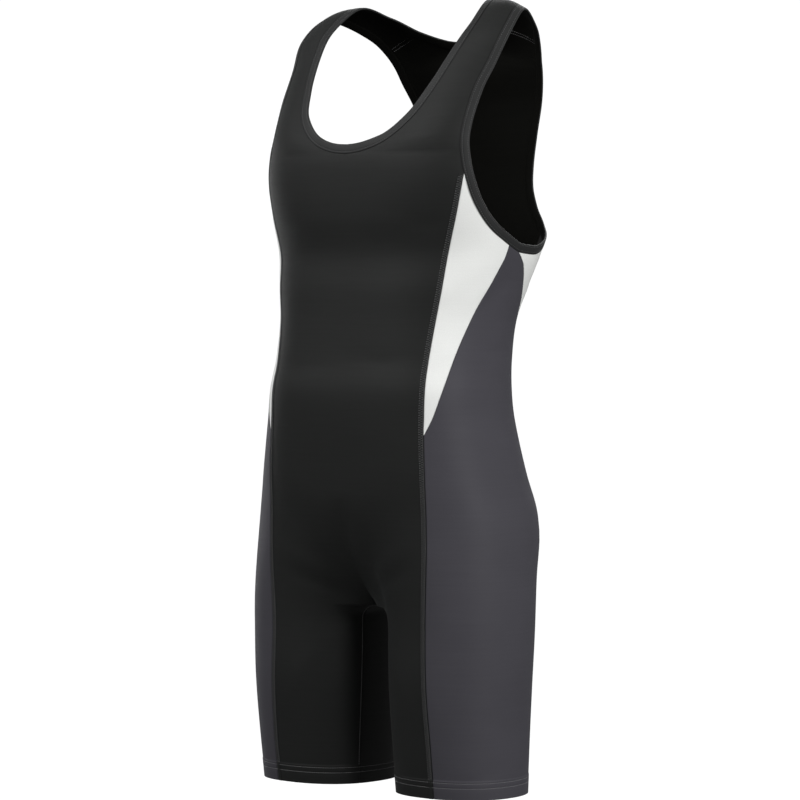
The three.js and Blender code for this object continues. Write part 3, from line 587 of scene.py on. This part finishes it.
# A thin closed shell over a panel's rows, with its outer face first
def panelMesh(name, rows, sides, seams, bound, materials):
    points = np.array([row[0] for row in rows])
    normals = np.array([row[1] for row in rows])
    across = np.linalg.norm(np.diff(points, axis=1), axis=2)
    reach = np.concatenate([np.zeros((len(rows), 1)), np.cumsum(across, axis=1)], axis=1)
    width = reach[:, -1:]
    climb = lengthsAlong(points[:, points.shape[1] // 2])[:, None] + np.zeros_like(reach)
    relief = np.zeros_like(reach)
    # Painted light per place: 1 is plain cloth, lower is painted shade, higher is painted highlight
    paintedLight = np.ones_like(reach)
    narrow = smooth(width / 12)
    for low, ridge, firstRow, lastRow in seams:
        distance = reach if low else width - reach
        here = np.zeros_like(reach)
        here[firstRow:lastRow] = 1
        relief += seamRelief(distance, ridge) * narrow * here
        paintedLight += seamPaintedLight(distance, ridge) * narrow * here
    for low, firstRow in bound:
        distance = reach if low else width - reach
        paintedLight[firstRow:] += edgePaintedShade(distance[firstRow:]) * narrow[firstRow:]
    hemmed = points[:, :, 2] < hemTop + 2
    relief += np.where(hemmed, hemRelief(points[:, :, 2]), 0)
    inside = cloth["thickness"] + np.where(points[:, :, 2] <= hemTop, cloth["hemInside"], 0)
    verts, uvs, faces, kinds, paintedLights = [], [], [], [], []
    for side in sides:
        flip = np.array(flips[side])
        flat, normal = (points * flip).reshape(-1, 3), (normals * flip).reshape(-1, 3)
        lift = creaseLift(flat)
        outer = flat + normal * (relief.reshape(-1) + lift)[:, None]
        inner = flat + normal * (lift - inside.reshape(-1))[:, None]
        base, count = sum(len(part) for part in verts), len(flat)
        verts += [outer, inner]
        paintedLights += [paintedLight.reshape(-1), np.ones(count)]
        uvs += [np.stack([(reach * flip[0]).reshape(-1), climb.reshape(-1)], -1)] * 2
        rowCount, columnCount = reach.shape
        ids = base + np.arange(count).reshape(rowCount, columnCount)
        quads = np.stack([ids[:-1, :-1], ids[:-1, 1:], ids[1:, 1:], ids[1:, :-1]], -1).reshape(-1, 4)
        if side == "right":
            quads = quads[:, ::-1]
        faces += [quads, quads[:, ::-1] + count]
        kinds += [np.zeros(len(quads)), np.ones(len(quads))]
        border = np.array([*ids[0, :], *ids[1:, -1], *ids[-1, -2::-1], *ids[-2:0:-1, 0]])
        after = np.roll(border, -1)
        rim = np.stack([after, border, border + count, after + count], -1)
        if side == "right":
            rim = rim[:, ::-1]
        faces.append(rim)
        kinds.append(np.zeros(len(rim)))
    return weldedMesh(name, np.concatenate(verts), np.concatenate(uvs), np.concatenate(paintedLights),
                      np.concatenate(faces), np.concatenate(kinds), materials)


# Makes one mesh, joining points that meet and leaving out faces and walls that close up
def weldedMesh(name, verts, uvs, paintedLights, faces, kinds, materials, smoothAngle=50):
    keys = np.round(verts * 500).astype(np.int64)
    _, first, index = np.unique(keys, axis=0, return_index=True, return_inverse=True)
    index = index.reshape(-1)
    joined = index[faces]
    seen = {}
    for quad, source, kind in zip(joined.tolist(), faces.tolist(), kinds.tolist()):
        ring, sources = [], []
        for a, b in zip(quad, source):
            if a not in ring:
                ring.append(a)
                sources.append(b)
        if len(ring) > 2:
            key = frozenset(ring)
            if key in seen:
                seen[key] = None
            else:
                seen[key] = (ring, sources, kind)
    loops = [item for item in seen.values() if item]
    mesh = bpy.data.meshes.new(name)
    mesh.from_pydata((verts[first] * metre).tolist(), [], [ring for ring, _, _ in loops])
    layer = mesh.uv_layers.new(name="cloth")
    flatUv = np.array([uvs[s] for _, sources, _ in loops for s in sources])
    layer.data.foreach_set("uv", flatUv.astype(np.float32).ravel())
    # The painted light goes with each point, for the knit materials to scale their colour by
    paintedLightLayer = mesh.attributes.new("paintedLight", "FLOAT", "POINT")
    paintedLightLayer.data.foreach_set("value", np.clip(paintedLights[first], 0.05, 2).astype(np.float32))
    mesh.polygons.foreach_set("material_index", [int(kind) for _, _, kind in loops])
    mesh.polygons.foreach_set("use_smooth", [True] * len(loops))
    for material in materials:
        mesh.materials.append(material)
    mesh.update()
    piece = bpy.data.objects.new(name, mesh)
    scene.collection.objects.link(piece)
    mesh.set_sharp_from_angle(angle=math.radians(smoothAngle))
    return piece


# Nodes of a material are added by type, with their settings and links in one call.
class Nodes:
    def __init__(self, tree):
        self.tree = tree

    def add(self, kind, inputs=None, **settings):
        node = self.tree.nodes.new(kind)
        for key, value in settings.items():
            setattr(node, key, value)
        for key, value in (inputs or {}).items():
            if isinstance(value, bpy.types.NodeSocket):
                self.tree.links.new(value, node.inputs[key])
            else:
                node.inputs[key].default_value = value
        return node

    def math(self, operation, *values):
        return self.add("ShaderNodeMath", dict(enumerate(values)), operation=operation).outputs[0]

    def vector(self, operation, inputs):
        return self.add("ShaderNodeVectorMath", inputs, operation=operation).outputs[0]

    # A noise's swing about its middle, by an amount
    def swing(self, noise, amount):
        return self.math("MULTIPLY", self.math("SUBTRACT", noise, 0.5), amount)


def freshNodes(owner):
    owner.use_nodes = True
    owner.node_tree.nodes.clear()
    return Nodes(owner.node_tree)


# Knit: rows of fine loops, long sheen streaks along them and a slow drift, all in cloth millimetres. The
# sheen streaks are painted sheen in the colour as well as a shift in roughness, and the colour is scaled by
# the painted light from seams and bindings.
def knitGroup():
    tree = bpy.data.node_groups.new("knitSurface", "ShaderNodeTree")
    taken = {
        "cloth": "Vector", "colour": "Color", "loopWidth": "Float", "streaks": "Float", "relief": "Float",
        "paintedLight": "Float",
    }
    made = {"colour": "Color", "roughShift": "Float", "normal": "Vector"}
    for way, sockets in (("INPUT", taken), ("OUTPUT", made)):
        for label, kind in sockets.items():
            tree.interface.new_socket(label, in_out=way, socket_type=f"NodeSocket{kind}")
    nodes = Nodes(tree)
    given = nodes.add("NodeGroupInput").outputs
    parts = nodes.add("ShaderNodeSeparateXYZ", {0: given["cloth"]}).outputs
    wale = nodes.math("DIVIDE", nodes.math("MULTIPLY", parts[0], 2 * math.pi), given["loopWidth"])
    leg = nodes.math("ABSOLUTE", nodes.math("SINE", nodes.math("MULTIPLY", wale, 0.5)))
    climb = nodes.math("ADD", nodes.math("DIVIDE", parts[1], nodes.math("MULTIPLY", given["loopWidth"], 0.8)),
                       nodes.math("MULTIPLY", leg, 0.55))
    course = nodes.math("SINE", nodes.math("MULTIPLY", climb, 2 * math.pi))
    loops = nodes.math("ADD", nodes.math("MULTIPLY", leg, 0.6), nodes.math("MULTIPLY", course, 0.35))
    stretched = nodes.vector("MULTIPLY", {0: given["cloth"], 1: (0.012, 0.42, 1)})
    streak = nodes.add("ShaderNodeTexNoise", {"Vector": stretched, "Scale": 1.0, "Detail": 3.0}).outputs[0]
    slow = nodes.vector("MULTIPLY", {0: given["cloth"], 1: (0.010, 0.014, 1)})
    drift = nodes.add("ShaderNodeTexNoise", {"Vector": slow, "Scale": 1.0, "Detail": 2.0}).outputs[0]
    grainInputs = {"Vector": given["cloth"], "Scale": 0.9, "Detail": 2.0}
    grain = nodes.add("ShaderNodeTexNoise", grainInputs).outputs[0]
    # Painted sheen: the streaks lighten and darken the colour along the courses, and lower the roughness
    # where they lighten it
    sheenStreaks = nodes.swing(streak, given["streaks"])
    tone = nodes.math("ADD", nodes.math("ADD", 1.0, sheenStreaks), nodes.swing(drift, 0.22))
    tone = nodes.math("ADD", tone, nodes.swing(grain, 0.14))
    tone = nodes.math("MULTIPLY", tone, nodes.math("ADD", 0.94, nodes.math("MULTIPLY", loops, 0.08)))
    # The colour is scaled by the painted light: painted shade at seams and bindings, painted highlights on
    # bands and folds
    tone = nodes.math("MULTIPLY", tone, given["paintedLight"])
    toned = nodes.vector("SCALE", {0: given["colour"], "Scale": tone})
    shift = nodes.math("ADD", nodes.math("MULTIPLY", sheenStreaks, -0.35), nodes.swing(grain, 0.1))
    height = nodes.math("ADD", nodes.math("MULTIPLY", loops, 0.5), nodes.math("MULTIPLY", grain, 0.3))
    bumpInputs = {"Strength": given["relief"], "Distance": 0.0002, "Height": height}
    bump = nodes.add("ShaderNodeBump", bumpInputs).outputs[0]
    nodes.add("NodeGroupOutput", {"colour": toned, "roughShift": shift, "normal": bump})
    return tree


knitTree = knitGroup()


def knitMaterial(name, look):
    material = bpy.data.materials.new(name)
    nodes = freshNodes(material)
    knit = nodes.add("ShaderNodeGroup", {
        "cloth": nodes.add("ShaderNodeTexCoord").outputs["UV"],
        "paintedLight": nodes.add("ShaderNodeAttribute", attribute_name="paintedLight").outputs["Fac"],
        "colour": (*look["colour"], 1),
        **{label: look[label] for label in ("loopWidth", "streaks", "relief")},
    }, node_tree=knitTree).outputs
    rough = nodes.math("ADD", look["roughness"], knit["roughShift"])
    surface = nodes.add("ShaderNodeBsdfPrincipled", {
        "Base Color": knit["colour"], "Roughness": rough, "Normal": knit["normal"],
        "Specular IOR Level": look["specular"], "Sheen Weight": look["sheen"],
        "Sheen Roughness": look["sheenRoughness"], "Sheen Tint": (*look["sheenTint"], 1),
    })
    nodes.add("ShaderNodeOutputMaterial", {"Surface": surface.outputs[0]})
    return material


def threadMaterial(name, colour, roughness):
    material = bpy.data.materials.new(name)
    nodes = freshNodes(material)
    place = nodes.add("ShaderNodeTexCoord").outputs["Object"]
    twist = nodes.add("ShaderNodeTexNoise", {"Vector": place, "Scale": 900.0, "Detail": 2.0}).outputs[0]
    tone = nodes.math("ADD", 0.7, nodes.math("MULTIPLY", twist, 0.6))
    base = nodes.vector("SCALE", {0: colour, "Scale": tone})
    surface = nodes.add("ShaderNodeBsdfPrincipled", {
        "Base Color": base, "Roughness": roughness, "Specular IOR Level": 0.5, "Sheen Weight": 0.2,
    })
    nodes.add("ShaderNodeOutputMaterial", {"Surface": surface.outputs[0]})
    return material


blackLook = {
    "colour": (0.0101, 0.0107, 0.0103), "loopWidth": 0.9, "streaks": 0.22, "relief": 0.35, "roughness": 0.6,
    "specular": 0.22, "sheen": 0.05, "sheenRoughness": 0.35, "sheenTint": (0.8, 0.85, 0.85),
}
charcoalLook = {
    "colour": (0.058, 0.056, 0.066), "loopWidth": 0.9, "streaks": 0.12, "relief": 0.35, "roughness": 0.62,
    "specular": 0.16, "sheen": 0.04, "sheenRoughness": 0.4, "sheenTint": (0.9, 0.9, 1.0),
}
whiteLook = {
    "colour": (0.84, 0.85, 0.83), "loopWidth": 0.9, "streaks": 0.03, "relief": 0.3, "roughness": 0.7,
    "specular": 0.15, "sheen": 0.05, "sheenRoughness": 0.4, "sheenTint": (1, 1, 1),
}
bindingLook = {
    "colour": (0.020, 0.0205, 0.0205), "loopWidth": 0.8, "streaks": 0.1, "relief": 0.4, "roughness": 0.55,
    "specular": 0.2, "sheen": 0.06, "sheenRoughness": 0.35, "sheenTint": (0.85, 0.9, 0.9),
}
# The inner faces of every cloth: near black and matte, a painted shade for the dim inside of the garment, the
# white inserts' insides included
shadedInsideLook = {
    "colour": (0.0048, 0.0048, 0.0040), "loopWidth": 0.9, "streaks": 0.2, "relief": 0.5, "roughness": 0.85,
    "specular": 0.05, "sheen": 0.0, "sheenRoughness": 0.4, "sheenTint": (1, 1, 1),
}
blackKnit = knitMaterial("blackKnit", blackLook)
charcoalKnit = knitMaterial("charcoalKnit", charcoalLook)
whiteKnit = knitMaterial("whiteKnit", whiteLook)
bindingKnit = knitMaterial("bindingKnit", bindingLook)
shadedInsideKnit = knitMaterial("shadedInsideKnit", shadedInsideLook)
shadedInsideWhite = knitMaterial("shadedInsideWhite", {**shadedInsideLook, "colour": (0.03, 0.03, 0.03)})
blackThread = threadMaterial("blackThread", (0.055, 0.056, 0.058), 0.5)
greyThread = threadMaterial("greyThread", (0.22, 0.22, 0.225), 0.55)
print("stage: materials made")


def finishPiece(piece, node):
    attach(piece, "root")
    if node:
        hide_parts(node)


bodyCount = len(bodyLevels)
frontSeamEnd = bodyCount + chestLevels.index(cut["frontTipZ"])
backSeamEnd = bodyCount + yokeLevels.index(cut["backTipZ"])
belowFork = sum(1 for z in bodyLevels if z < fork["z"])
chestRow = bodyCount + len(chestLevels) - 1
napeRow = bodyCount + len(yokeLevels) - 1
closedRows = sum(row[0][-1][0] < 0.01 for row in rowsOf["back"][napeRow + 1:])  # they run to the middle
neckRow = napeRow + closedRows
ridge = 0.28


def addPanel(name, rows, sides, seams, bound, materials):
    piece = panelMesh(name, rows, sides, seams, bound, materials)
    finishPiece(piece, name.replace("Cloth", ""))


# A seam is (at the row's start, ridge, first row, last row), a bound edge (at the row's start, first row)
addPanel("front_panelCloth", rowsOf["front"], ["left", "right"],
         [(True, 0, 0, belowFork), (False, ridge, 0, frontSeamEnd)],
         [(True, chestRow), (False, frontSeamEnd)], [blackKnit, shadedInsideKnit])
addPanel("back_panelCloth", rowsOf["back"], ["left", "right"],
         [(False, 0, 0, belowFork), (True, ridge, 0, backSeamEnd)],
         [(False, neckRow), (True, backSeamEnd)], [blackKnit, shadedInsideKnit])
seamed = len(insertLevels)
frontBound, backBound = seamed + 4, seamed + 8  # the inserts' first rows at the armhole
toTop = 999
for side in ("left", "right"):
    addPanel(f"side_panel_{side}Cloth", rowsOf["side"], [side],
             [(True, 0, 0, toTop), (False, 0, 0, toTop)], [],
             [charcoalKnit, shadedInsideKnit])
    addPanel(f"front_insert_{side}Cloth", rowsOf["frontInsert"], [side],
             [(True, 0, 0, toTop), (False, 0, 0, seamed)], [(False, frontBound)],
             [whiteKnit, shadedInsideWhite])
    addPanel(f"back_insert_{side}Cloth", rowsOf["backInsert"], [side],
             [(False, 0, 0, toTop), (True, 0, 0, seamed)], [(True, backBound)],
             [whiteKnit, shadedInsideWhite])
print("stage: panels built")


# Lines on the cloth: points and normals, read by distance
class Line:
    def __init__(self, points, normals, closed=False):
        keep = np.concatenate([[True], np.linalg.norm(np.diff(points, axis=0), axis=1) > 0.05])
        points, normals = points[keep], normals[keep]
        if closed:
            points, normals = np.vstack([points, points[:1]]), np.vstack([normals, normals[:1]])
        self.points, self.normals, self.closed = points, normals, closed
        self.reach = lengthsAlong(points)
        self.total = self.reach[-1]

    def at(self, distance):
        distance = np.asarray(distance, float)
        distance = distance % self.total if self.closed else np.clip(distance, 0, self.total)
        points = readAlong(self.reach, self.points, distance)
        normals = unit(readAlong(self.reach, self.normals, distance))
        ahead, behind = distance + 0.8, distance - 0.8
        if self.closed:
            ahead, behind = ahead % self.total, behind % self.total
        along = unit(readAlong(self.reach, self.points, ahead) - readAlong(self.reach, self.points, behind))
        return points, normals, along

    def even(self, spacing):
        count = max(2, round(self.total / spacing))
        distance = np.linspace(0, self.total, count, endpoint=not self.closed)
        points, normals, _ = self.at(distance)
        return Line(points, normals, self.closed)

    # Rounds the corners off, by a mean over the points on each side
    def softened(self, reach):
        points, normals = self.points[:-1], self.normals[:-1]
        steps = range(-reach, reach + 1)
        return Line(np.mean([np.roll(points, step, 0) for step in steps], 0),
                    unit(np.mean([np.roll(normals, step, 0) for step in steps], 0)), True)

    def moved(self, sideways, lift):
        points, normals, along = self.at(self.reach[:-1] if self.closed else self.reach)
        side = unit(np.cross(along, normals))
        return Line(points + side * sideways + normals * lift, normals, self.closed)

    def mirrored(self):
        points, normals = self.points * mirror, self.normals * mirror
        return Line(points[:-1], normals[:-1], True) if self.closed else Line(points, normals)


stitch = {"pitch": 2.6, "length": 2.05, "radius": 0.21, "seamSide": 1.6, "foldSide": 2.1}


# A binding: a strip folded over the edge, from its seam with the panel out to its fold
def bindingMesh(name, loop, width, toward, materials):
    points, normals, along = loop.at(np.linspace(0, loop.total, round(loop.total / 2.6), endpoint=False))
    inward = unit(np.cross(along, normals)) * toward
    distance = np.linspace(0, loop.total, len(points), endpoint=False)
    lift = creaseLift(points)
    around = 2 * math.pi * distance / loop.total
    wave = 0.16 * np.sin(9 * around + 0.4) + 0.10 * np.sin(21 * around + 2)
    pinch = 0.05 * np.sin(round(loop.total / 2.6) * around)
    # Reach from the seam, rise off the cloth, and the painted light there: painted shade in the groove at the
    # seam and along both stitch lines, and a painted highlight along the fold
    section = [
        (-0.9, 0.02, 0.1), (-0.75, 0.34, 0.12), (-0.3, 0.52, 0.6), (0.6, 0.60, 1.0), (1.1, 0.58, 0.85),
        (stitch["seamSide"], 0.40, 0.3), (2.1, 0.60, 0.85), (2.8, 0.68, 1.0), (width * 0.5, 0.72, 1.0),
        (width - 3.0, 0.66, 1.0), (width - stitch["foldSide"], 0.46, 0.75), (width - 1.3, 0.58, 1.05),
        (width - 0.5, 0.28, 1.1), (width, -0.7, 1.1), (width - 0.5, -1.7, 1), (width - 1.6, -2.05, 1),
        (width * 0.5, -2.1, 1), (0.6, -2.05, 1), (-0.6, -1.8, 1), (-0.9, -0.95, 1),
    ]
    foldAt = 13
    rings = []
    for reach, rise, _ in section:
        edge = max(reach, 0) / width
        outward = (rise + lift + pinch * edge)[:, None]
        rings.append(points + inward * (reach + wave * edge)[:, None] + normals * outward)
    verts = np.stack(rings, 1)
    count, sides = verts.shape[:2]
    girth = lengthsAlong(np.array(section)[:, :2])
    uvs = np.stack(np.broadcast_arrays(distance[:, None], girth[None]), -1).reshape(-1, 2)
    ids = np.arange(count * sides).reshape(count, sides)
    nextRow, nextColumn = np.roll(ids, -1, 0), np.roll(ids, -1, 1)
    quads = np.stack([ids, nextColumn, np.roll(nextRow, -1, 1), nextRow], -1).reshape(-1, 4)
    if toward < 0:
        quads = quads[:, ::-1]
    paintedLights = np.tile([paintedLight for _, _, paintedLight in section], count)
    kinds = np.tile(np.arange(sides) > foldAt, count)
    return weldedMesh(name, verts.reshape(-1, 3), uvs, paintedLights, quads, kinds, materials, 60)


def ends(rows, column):
    return np.array([row[0][column] for row in rows]), np.array([row[1][column] for row in rows])


# Points and normals of several parts, one after the other
def joined(parts):
    return [np.concatenate([part[k] for part in parts]) for k in range(2)]


frontAll, backAll = rowsOf["front"], rowsOf["back"]
neckParts = [ends(frontAll[chestRow:], 0), ends(backAll[neckRow:][::-1], -1)]
neckHalf = joined(neckParts)
offMiddle = np.abs(neckHalf[0][:, 0]) >= 0.01
neckLine = Line(*joined([neckHalf, [(half[offMiddle] * mirror)[::-1] for half in neckHalf]]), True).even(2)

frontTipRow = bodyCount + chestLevels.index(cut["frontTipZ"])
backTipRow = bodyCount + yokeLevels.index(cut["backTipZ"])
armParts = [
    ends(rowsOf["frontInsert"][frontBound:-1], -1),
    ends(frontAll[frontTipRow:], -1),
    ends(backAll[backTipRow:][::-1], 0),
    ends(rowsOf["backInsert"][backBound:][::-1], 0),
    (rowsOf["side"][-1][0][::-1], rowsOf["side"][-1][1][::-1]),
]
armLine = Line(*joined(armParts), True).even(2).softened(3).softened(3)
armLines = {"left": (armLine, 1), "right": (armLine.mirrored(), -1)}

bindings = {"neck_binding": (neckLine, cut["neckBinding"], -1)}
for side, (line, toward) in armLines.items():
    bindings[f"armhole_binding_{side}"] = (line, cut["armholeBinding"], toward)
for name, (line, width, toward) in bindings.items():
    piece = bindingMesh(f"{name}Cloth", line, width, toward, [bindingKnit, shadedInsideKnit])
    finishPiece(piece, name)
print("stage: bindings built")


# Stitches along a line, each a short thread that dips into the cloth at both ends
def stitchParts(line, rise=0.0):
    pitch, length, radius = stitch["pitch"], stitch["length"], stitch["radius"]
    count = max(1, round(line.total / pitch))
    starts = np.arange(count) * line.total / count
    profile = np.array([0, 0.18, 0.5, 0.82, 1.0])
    fatness = np.array([0.45, 0.95, 1.0, 0.95, 0.45])
    height = np.array([-0.9, 0.25, 0.6, 0.25, -0.9]) * radius + rise
    distance = starts[:, None] + (pitch - length) / 2 + profile[None] * length
    points, normals, along = line.at(distance.reshape(-1))
    return tubeParts(points + normals * np.tile(height, count)[:, None], normals, along,
                     np.tile(fatness * radius, count), len(profile))


# Threads that run between pairs of points, as tubes of a few rings each
def tubeParts(centres, normals, along, radii, rings):
    lift = creaseLift(centres)
    side = unit(np.cross(along, normals))
    centres = centres + normals * lift[:, None]
    angle = np.arange(5) * 2 * math.pi / 5
    ring = (normals[:, None] * np.cos(angle)[None, :, None] + side[:, None] * np.sin(angle)[None, :, None])
    verts = (centres[:, None] + ring * radii[:, None, None]).reshape(-1, 3)
    count = len(centres) // rings
    ids = np.arange(len(verts)).reshape(count, rings, 5)
    nextSide = np.roll(ids, -1, 2)
    quads = np.stack([ids[:, :-1], nextSide[:, :-1], nextSide[:, 1:], ids[:, 1:]], -1).reshape(-1, 4)
    caps = [*ids[:, 0].tolist(), *ids[:, -1, ::-1].tolist()]
    return verts, quads, caps


# A looper thread that goes to and fro between two lines
def looperParts(low, high, pitch, radius, rise):
    count = max(1, round(low.total / pitch))
    t = np.linspace(0, 1, count * 2 + 1)
    lowPoints, lowNormals, lowAlong = low.at(t * low.total)
    highPoints, highNormals, _ = high.at(t * high.total)
    inner = np.arange(count * 2 + 1) % 2 == 0
    points = np.where(inner[:, None], lowPoints, highPoints)
    starts, stops = points[:-1], points[1:]
    normals = unit(lowNormals[:-1] + highNormals[:-1])
    along = unit(stops - starts)
    shape = np.array([0, 0.5, 1.0])
    centres = starts[:, None] + (stops - starts)[:, None] * shape[None, :, None]
    centres = centres + normals[:, None] * (rise + radius * np.array([0, 0.7, 0]))[None, :, None]
    return tubeParts(centres.reshape(-1, 3), np.repeat(normals, 3, axis=0), np.repeat(along, 3, axis=0),
                     np.full(len(starts) * 3, radius), 3)


def addThread(label, parts, material):
    name = f"{label}Thread"
    verts, faces, base = [], [], 0
    for points, quads, caps in parts:
        verts.append(points)
        faces += (quads + base).tolist() + [[i + base for i in cap] for cap in caps]
        base += len(points)
    mesh = bpy.data.meshes.new(name)
    mesh.from_pydata((np.concatenate(verts) * metre).tolist(), [], faces)
    mesh.polygons.foreach_set("use_smooth", [True] * len(faces))
    mesh.materials.append(material)
    mesh.update()
    piece = bpy.data.objects.new(name, mesh)
    scene.collection.objects.link(piece)
    finishPiece(piece, None)


# A line that runs along a panel's side, a set distance in from it
def besideSeam(rows, fromLow, distance, firstRow, lastRow):
    points, normals = [], []
    for rowPoints, rowNormals in rows[firstRow:lastRow]:
        if not fromLow:
            rowPoints, rowNormals = rowPoints[::-1], rowNormals[::-1]
        reach = lengthsAlong(rowPoints)
        away = min(distance, reach[-1] * 0.8)
        points.append(readAlong(reach, rowPoints, away))
        normals.append(readAlong(reach, rowNormals, away))
    return Line(np.array(points), unit(np.array(normals)))


flatlocks = {
    "front_seam": (frontAll, False, frontSeamEnd, "front_panelCloth"),
    "back_seam": (backAll, True, backSeamEnd, "back_panelCloth"),
}
for label, (rows, fromLow, lastRow, panel) in flatlocks.items():
    inner = besideSeam(rows, fromLow, 1.2, 0, lastRow)
    outer = besideSeam(rows, fromLow, 5.6, 0, lastRow)
    for side in ("left", "right"):
        low, high = (inner, outer) if side == "left" else (inner.mirrored(), outer.mirrored())
        parts = [
            stitchParts(low, ridge),
            stitchParts(high, ridge * 0.9),
            looperParts(low, high, stitch["pitch"], 0.15, ridge + 0.02),
        ]
        addThread(f"{label}_{side}", parts, blackThread)

# Hem: two rows of cover stitch round each leg
for side, flip in flips.items():
    parts = []
    for level in hemStitchLevels:
        hemRow = bodyLevels.index(level)
        points, normals = joined([rows[hemRow] for rows in (frontAll, rowsOf["side"], backAll)])
        parts.append(stitchParts(Line(points * flip, normals * flip, True), 0.3))
    addThread(f"hem_{side}", parts, greyThread)

# Inseam: one run of stitches from hem to hem, over the crotch
inseamRows = frontAll[:belowFork + 1]
half = besideSeam(inseamRows, True, stitch["seamSide"], 0, len(inseamRows))
otherHalf = [(half.points * mirror)[::-1], (half.normals * mirror)[::-1]]
inseam = Line(*joined([(half.points, half.normals), otherHalf]))
addThread("inseam", [stitchParts(inseam)], greyThread)

# Bindings: two rows of stitches each
for name, (line, width, toward) in bindings.items():
    parts = [
        stitchParts(line.moved(stitch["seamSide"] * toward, 0.40)),
        stitchParts(line.moved((width - stitch["foldSide"]) * toward, 0.42)),
    ]
    addThread(name, parts, blackThread)

# Shoulder seam across each back strap
seamColumns = np.linspace(0.03, 0.97, 40)
for side, flip in flips.items():
    parts = []
    for offset in (-0.07, 0.07):
        t = shoulderSeamRow + offset
        line = Line(shoulder.points(t, seamColumns) * flip, shoulder.normals(t, seamColumns) * flip)
        parts.append(stitchParts(line))
        inside = Line(line.points - line.normals * cloth["thickness"], -line.normals)
        parts.append(stitchParts(inside))
    addThread(f"shoulder_seam_{side}", parts, greyThread)
print("stage: sewing done")


# White studio: a floor that curves up into a backdrop, and large soft lights
studio = {
    "floorZ": -1.25, "front": -14.0, "back": 7.5, "width": 28, "bend": 2.6, "bendSteps": 12, "height": 9.5,
    "bounce": 0.05, "sky": 0.3,
}


def backdropMesh():
    profile = [(studio["front"], 0.0)]
    start = studio["back"] - studio["bend"]
    for i in range(studio["bendSteps"] + 1):
        angle = math.pi / 2 * i / studio["bendSteps"]
        profile.append((start + studio["bend"] * math.sin(angle), studio["bend"] * (1 - math.cos(angle))))
    profile.append((studio["back"], studio["height"]))
    verts, faces = [], []
    ahead = Vector((-math.sin(turn), math.cos(turn), 0))
    aside = Vector((math.cos(turn), math.sin(turn), 0))
    for along, rise in profile:
        for side in (-0.5, 0.5):
            level = Vector((0, 0, studio["floorZ"] + rise))
            verts.append(ahead * along + aside * studio["width"] * side + level)
    for i in range(len(profile) - 1):
        faces.append((2 * i, 2 * i + 1, 2 * i + 3, 2 * i + 2))
    mesh = bpy.data.meshes.new("backdrop")
    mesh.from_pydata(verts, [], faces)
    mesh.polygons.foreach_set("use_smooth", [True] * len(faces))
    mesh.update()
    return mesh


# Full white where the camera looks, and only a little light for everything else
def cameraGlow(nodes, least):
    seen = nodes.add("ShaderNodeLightPath").outputs["Is Camera Ray"]
    return nodes.math("ADD", least, nodes.math("MULTIPLY", seen, 1 - least))


backdrop = bpy.data.objects.new("backdrop", backdropMesh())
scene.collection.objects.link(backdrop)
paper = bpy.data.materials.new("paper")
paperNodes = freshNodes(paper)
glow = cameraGlow(paperNodes, studio["bounce"])
paperShader = paperNodes.add("ShaderNodeBsdfPrincipled", {
    "Base Color": (0.12, 0.12, 0.12, 1), "Roughness": 0.9, "Specular IOR Level": 0.0,
    "Emission Color": (1, 1, 1, 1), "Emission Strength": glow,
})
paperNodes.add("ShaderNodeOutputMaterial", {"Surface": paperShader.outputs[0]})
backdrop.data.materials.append(paper)

world = bpy.data.worlds.new("studio")
worldNodes = freshNodes(world)
glow = cameraGlow(worldNodes, studio["sky"])
sky = worldNodes.add("ShaderNodeBackground", {"Color": (1, 1, 1, 1), "Strength": glow})
worldNodes.add("ShaderNodeOutputWorld", {"Surface": sky.outputs[0]})
scene.world = world


# Height is the lamp's own, and it faces the garment's middle
def areaLight(name, azimuth, height, distance, size, power):
    data = bpy.data.lights.new(name, "AREA")
    data.shape = "RECTANGLE"
    data.size, data.size_y = size
    data.energy = power
    lamp = bpy.data.objects.new(name, data)
    angle = math.radians(azimuth)
    lamp.location = Vector((math.sin(angle) * distance, -math.cos(angle) * distance, height))
    lamp.rotation_euler = (Vector((0, 0, -0.42)) - lamp.location).to_track_quat("-Z", "Y").to_euler()
    scene.collection.objects.link(lamp)


areaLight("keyLight", -30, 0.85, 1.6, (1.2, 1.5), 26)
areaLight("fillLight", 80, 0.7, 2.8, (1.6, 2.0), 75)
areaLight("farLight", -100, -0.35, 2.2, (0.6, 1.1), 6)
areaLight("backLight", 210, 1.0, 2.8, (2.0, 2.0), 38)

scene.view_settings.view_transform = "Standard"
scene.view_settings.look = "None"
print("stage: studio set")
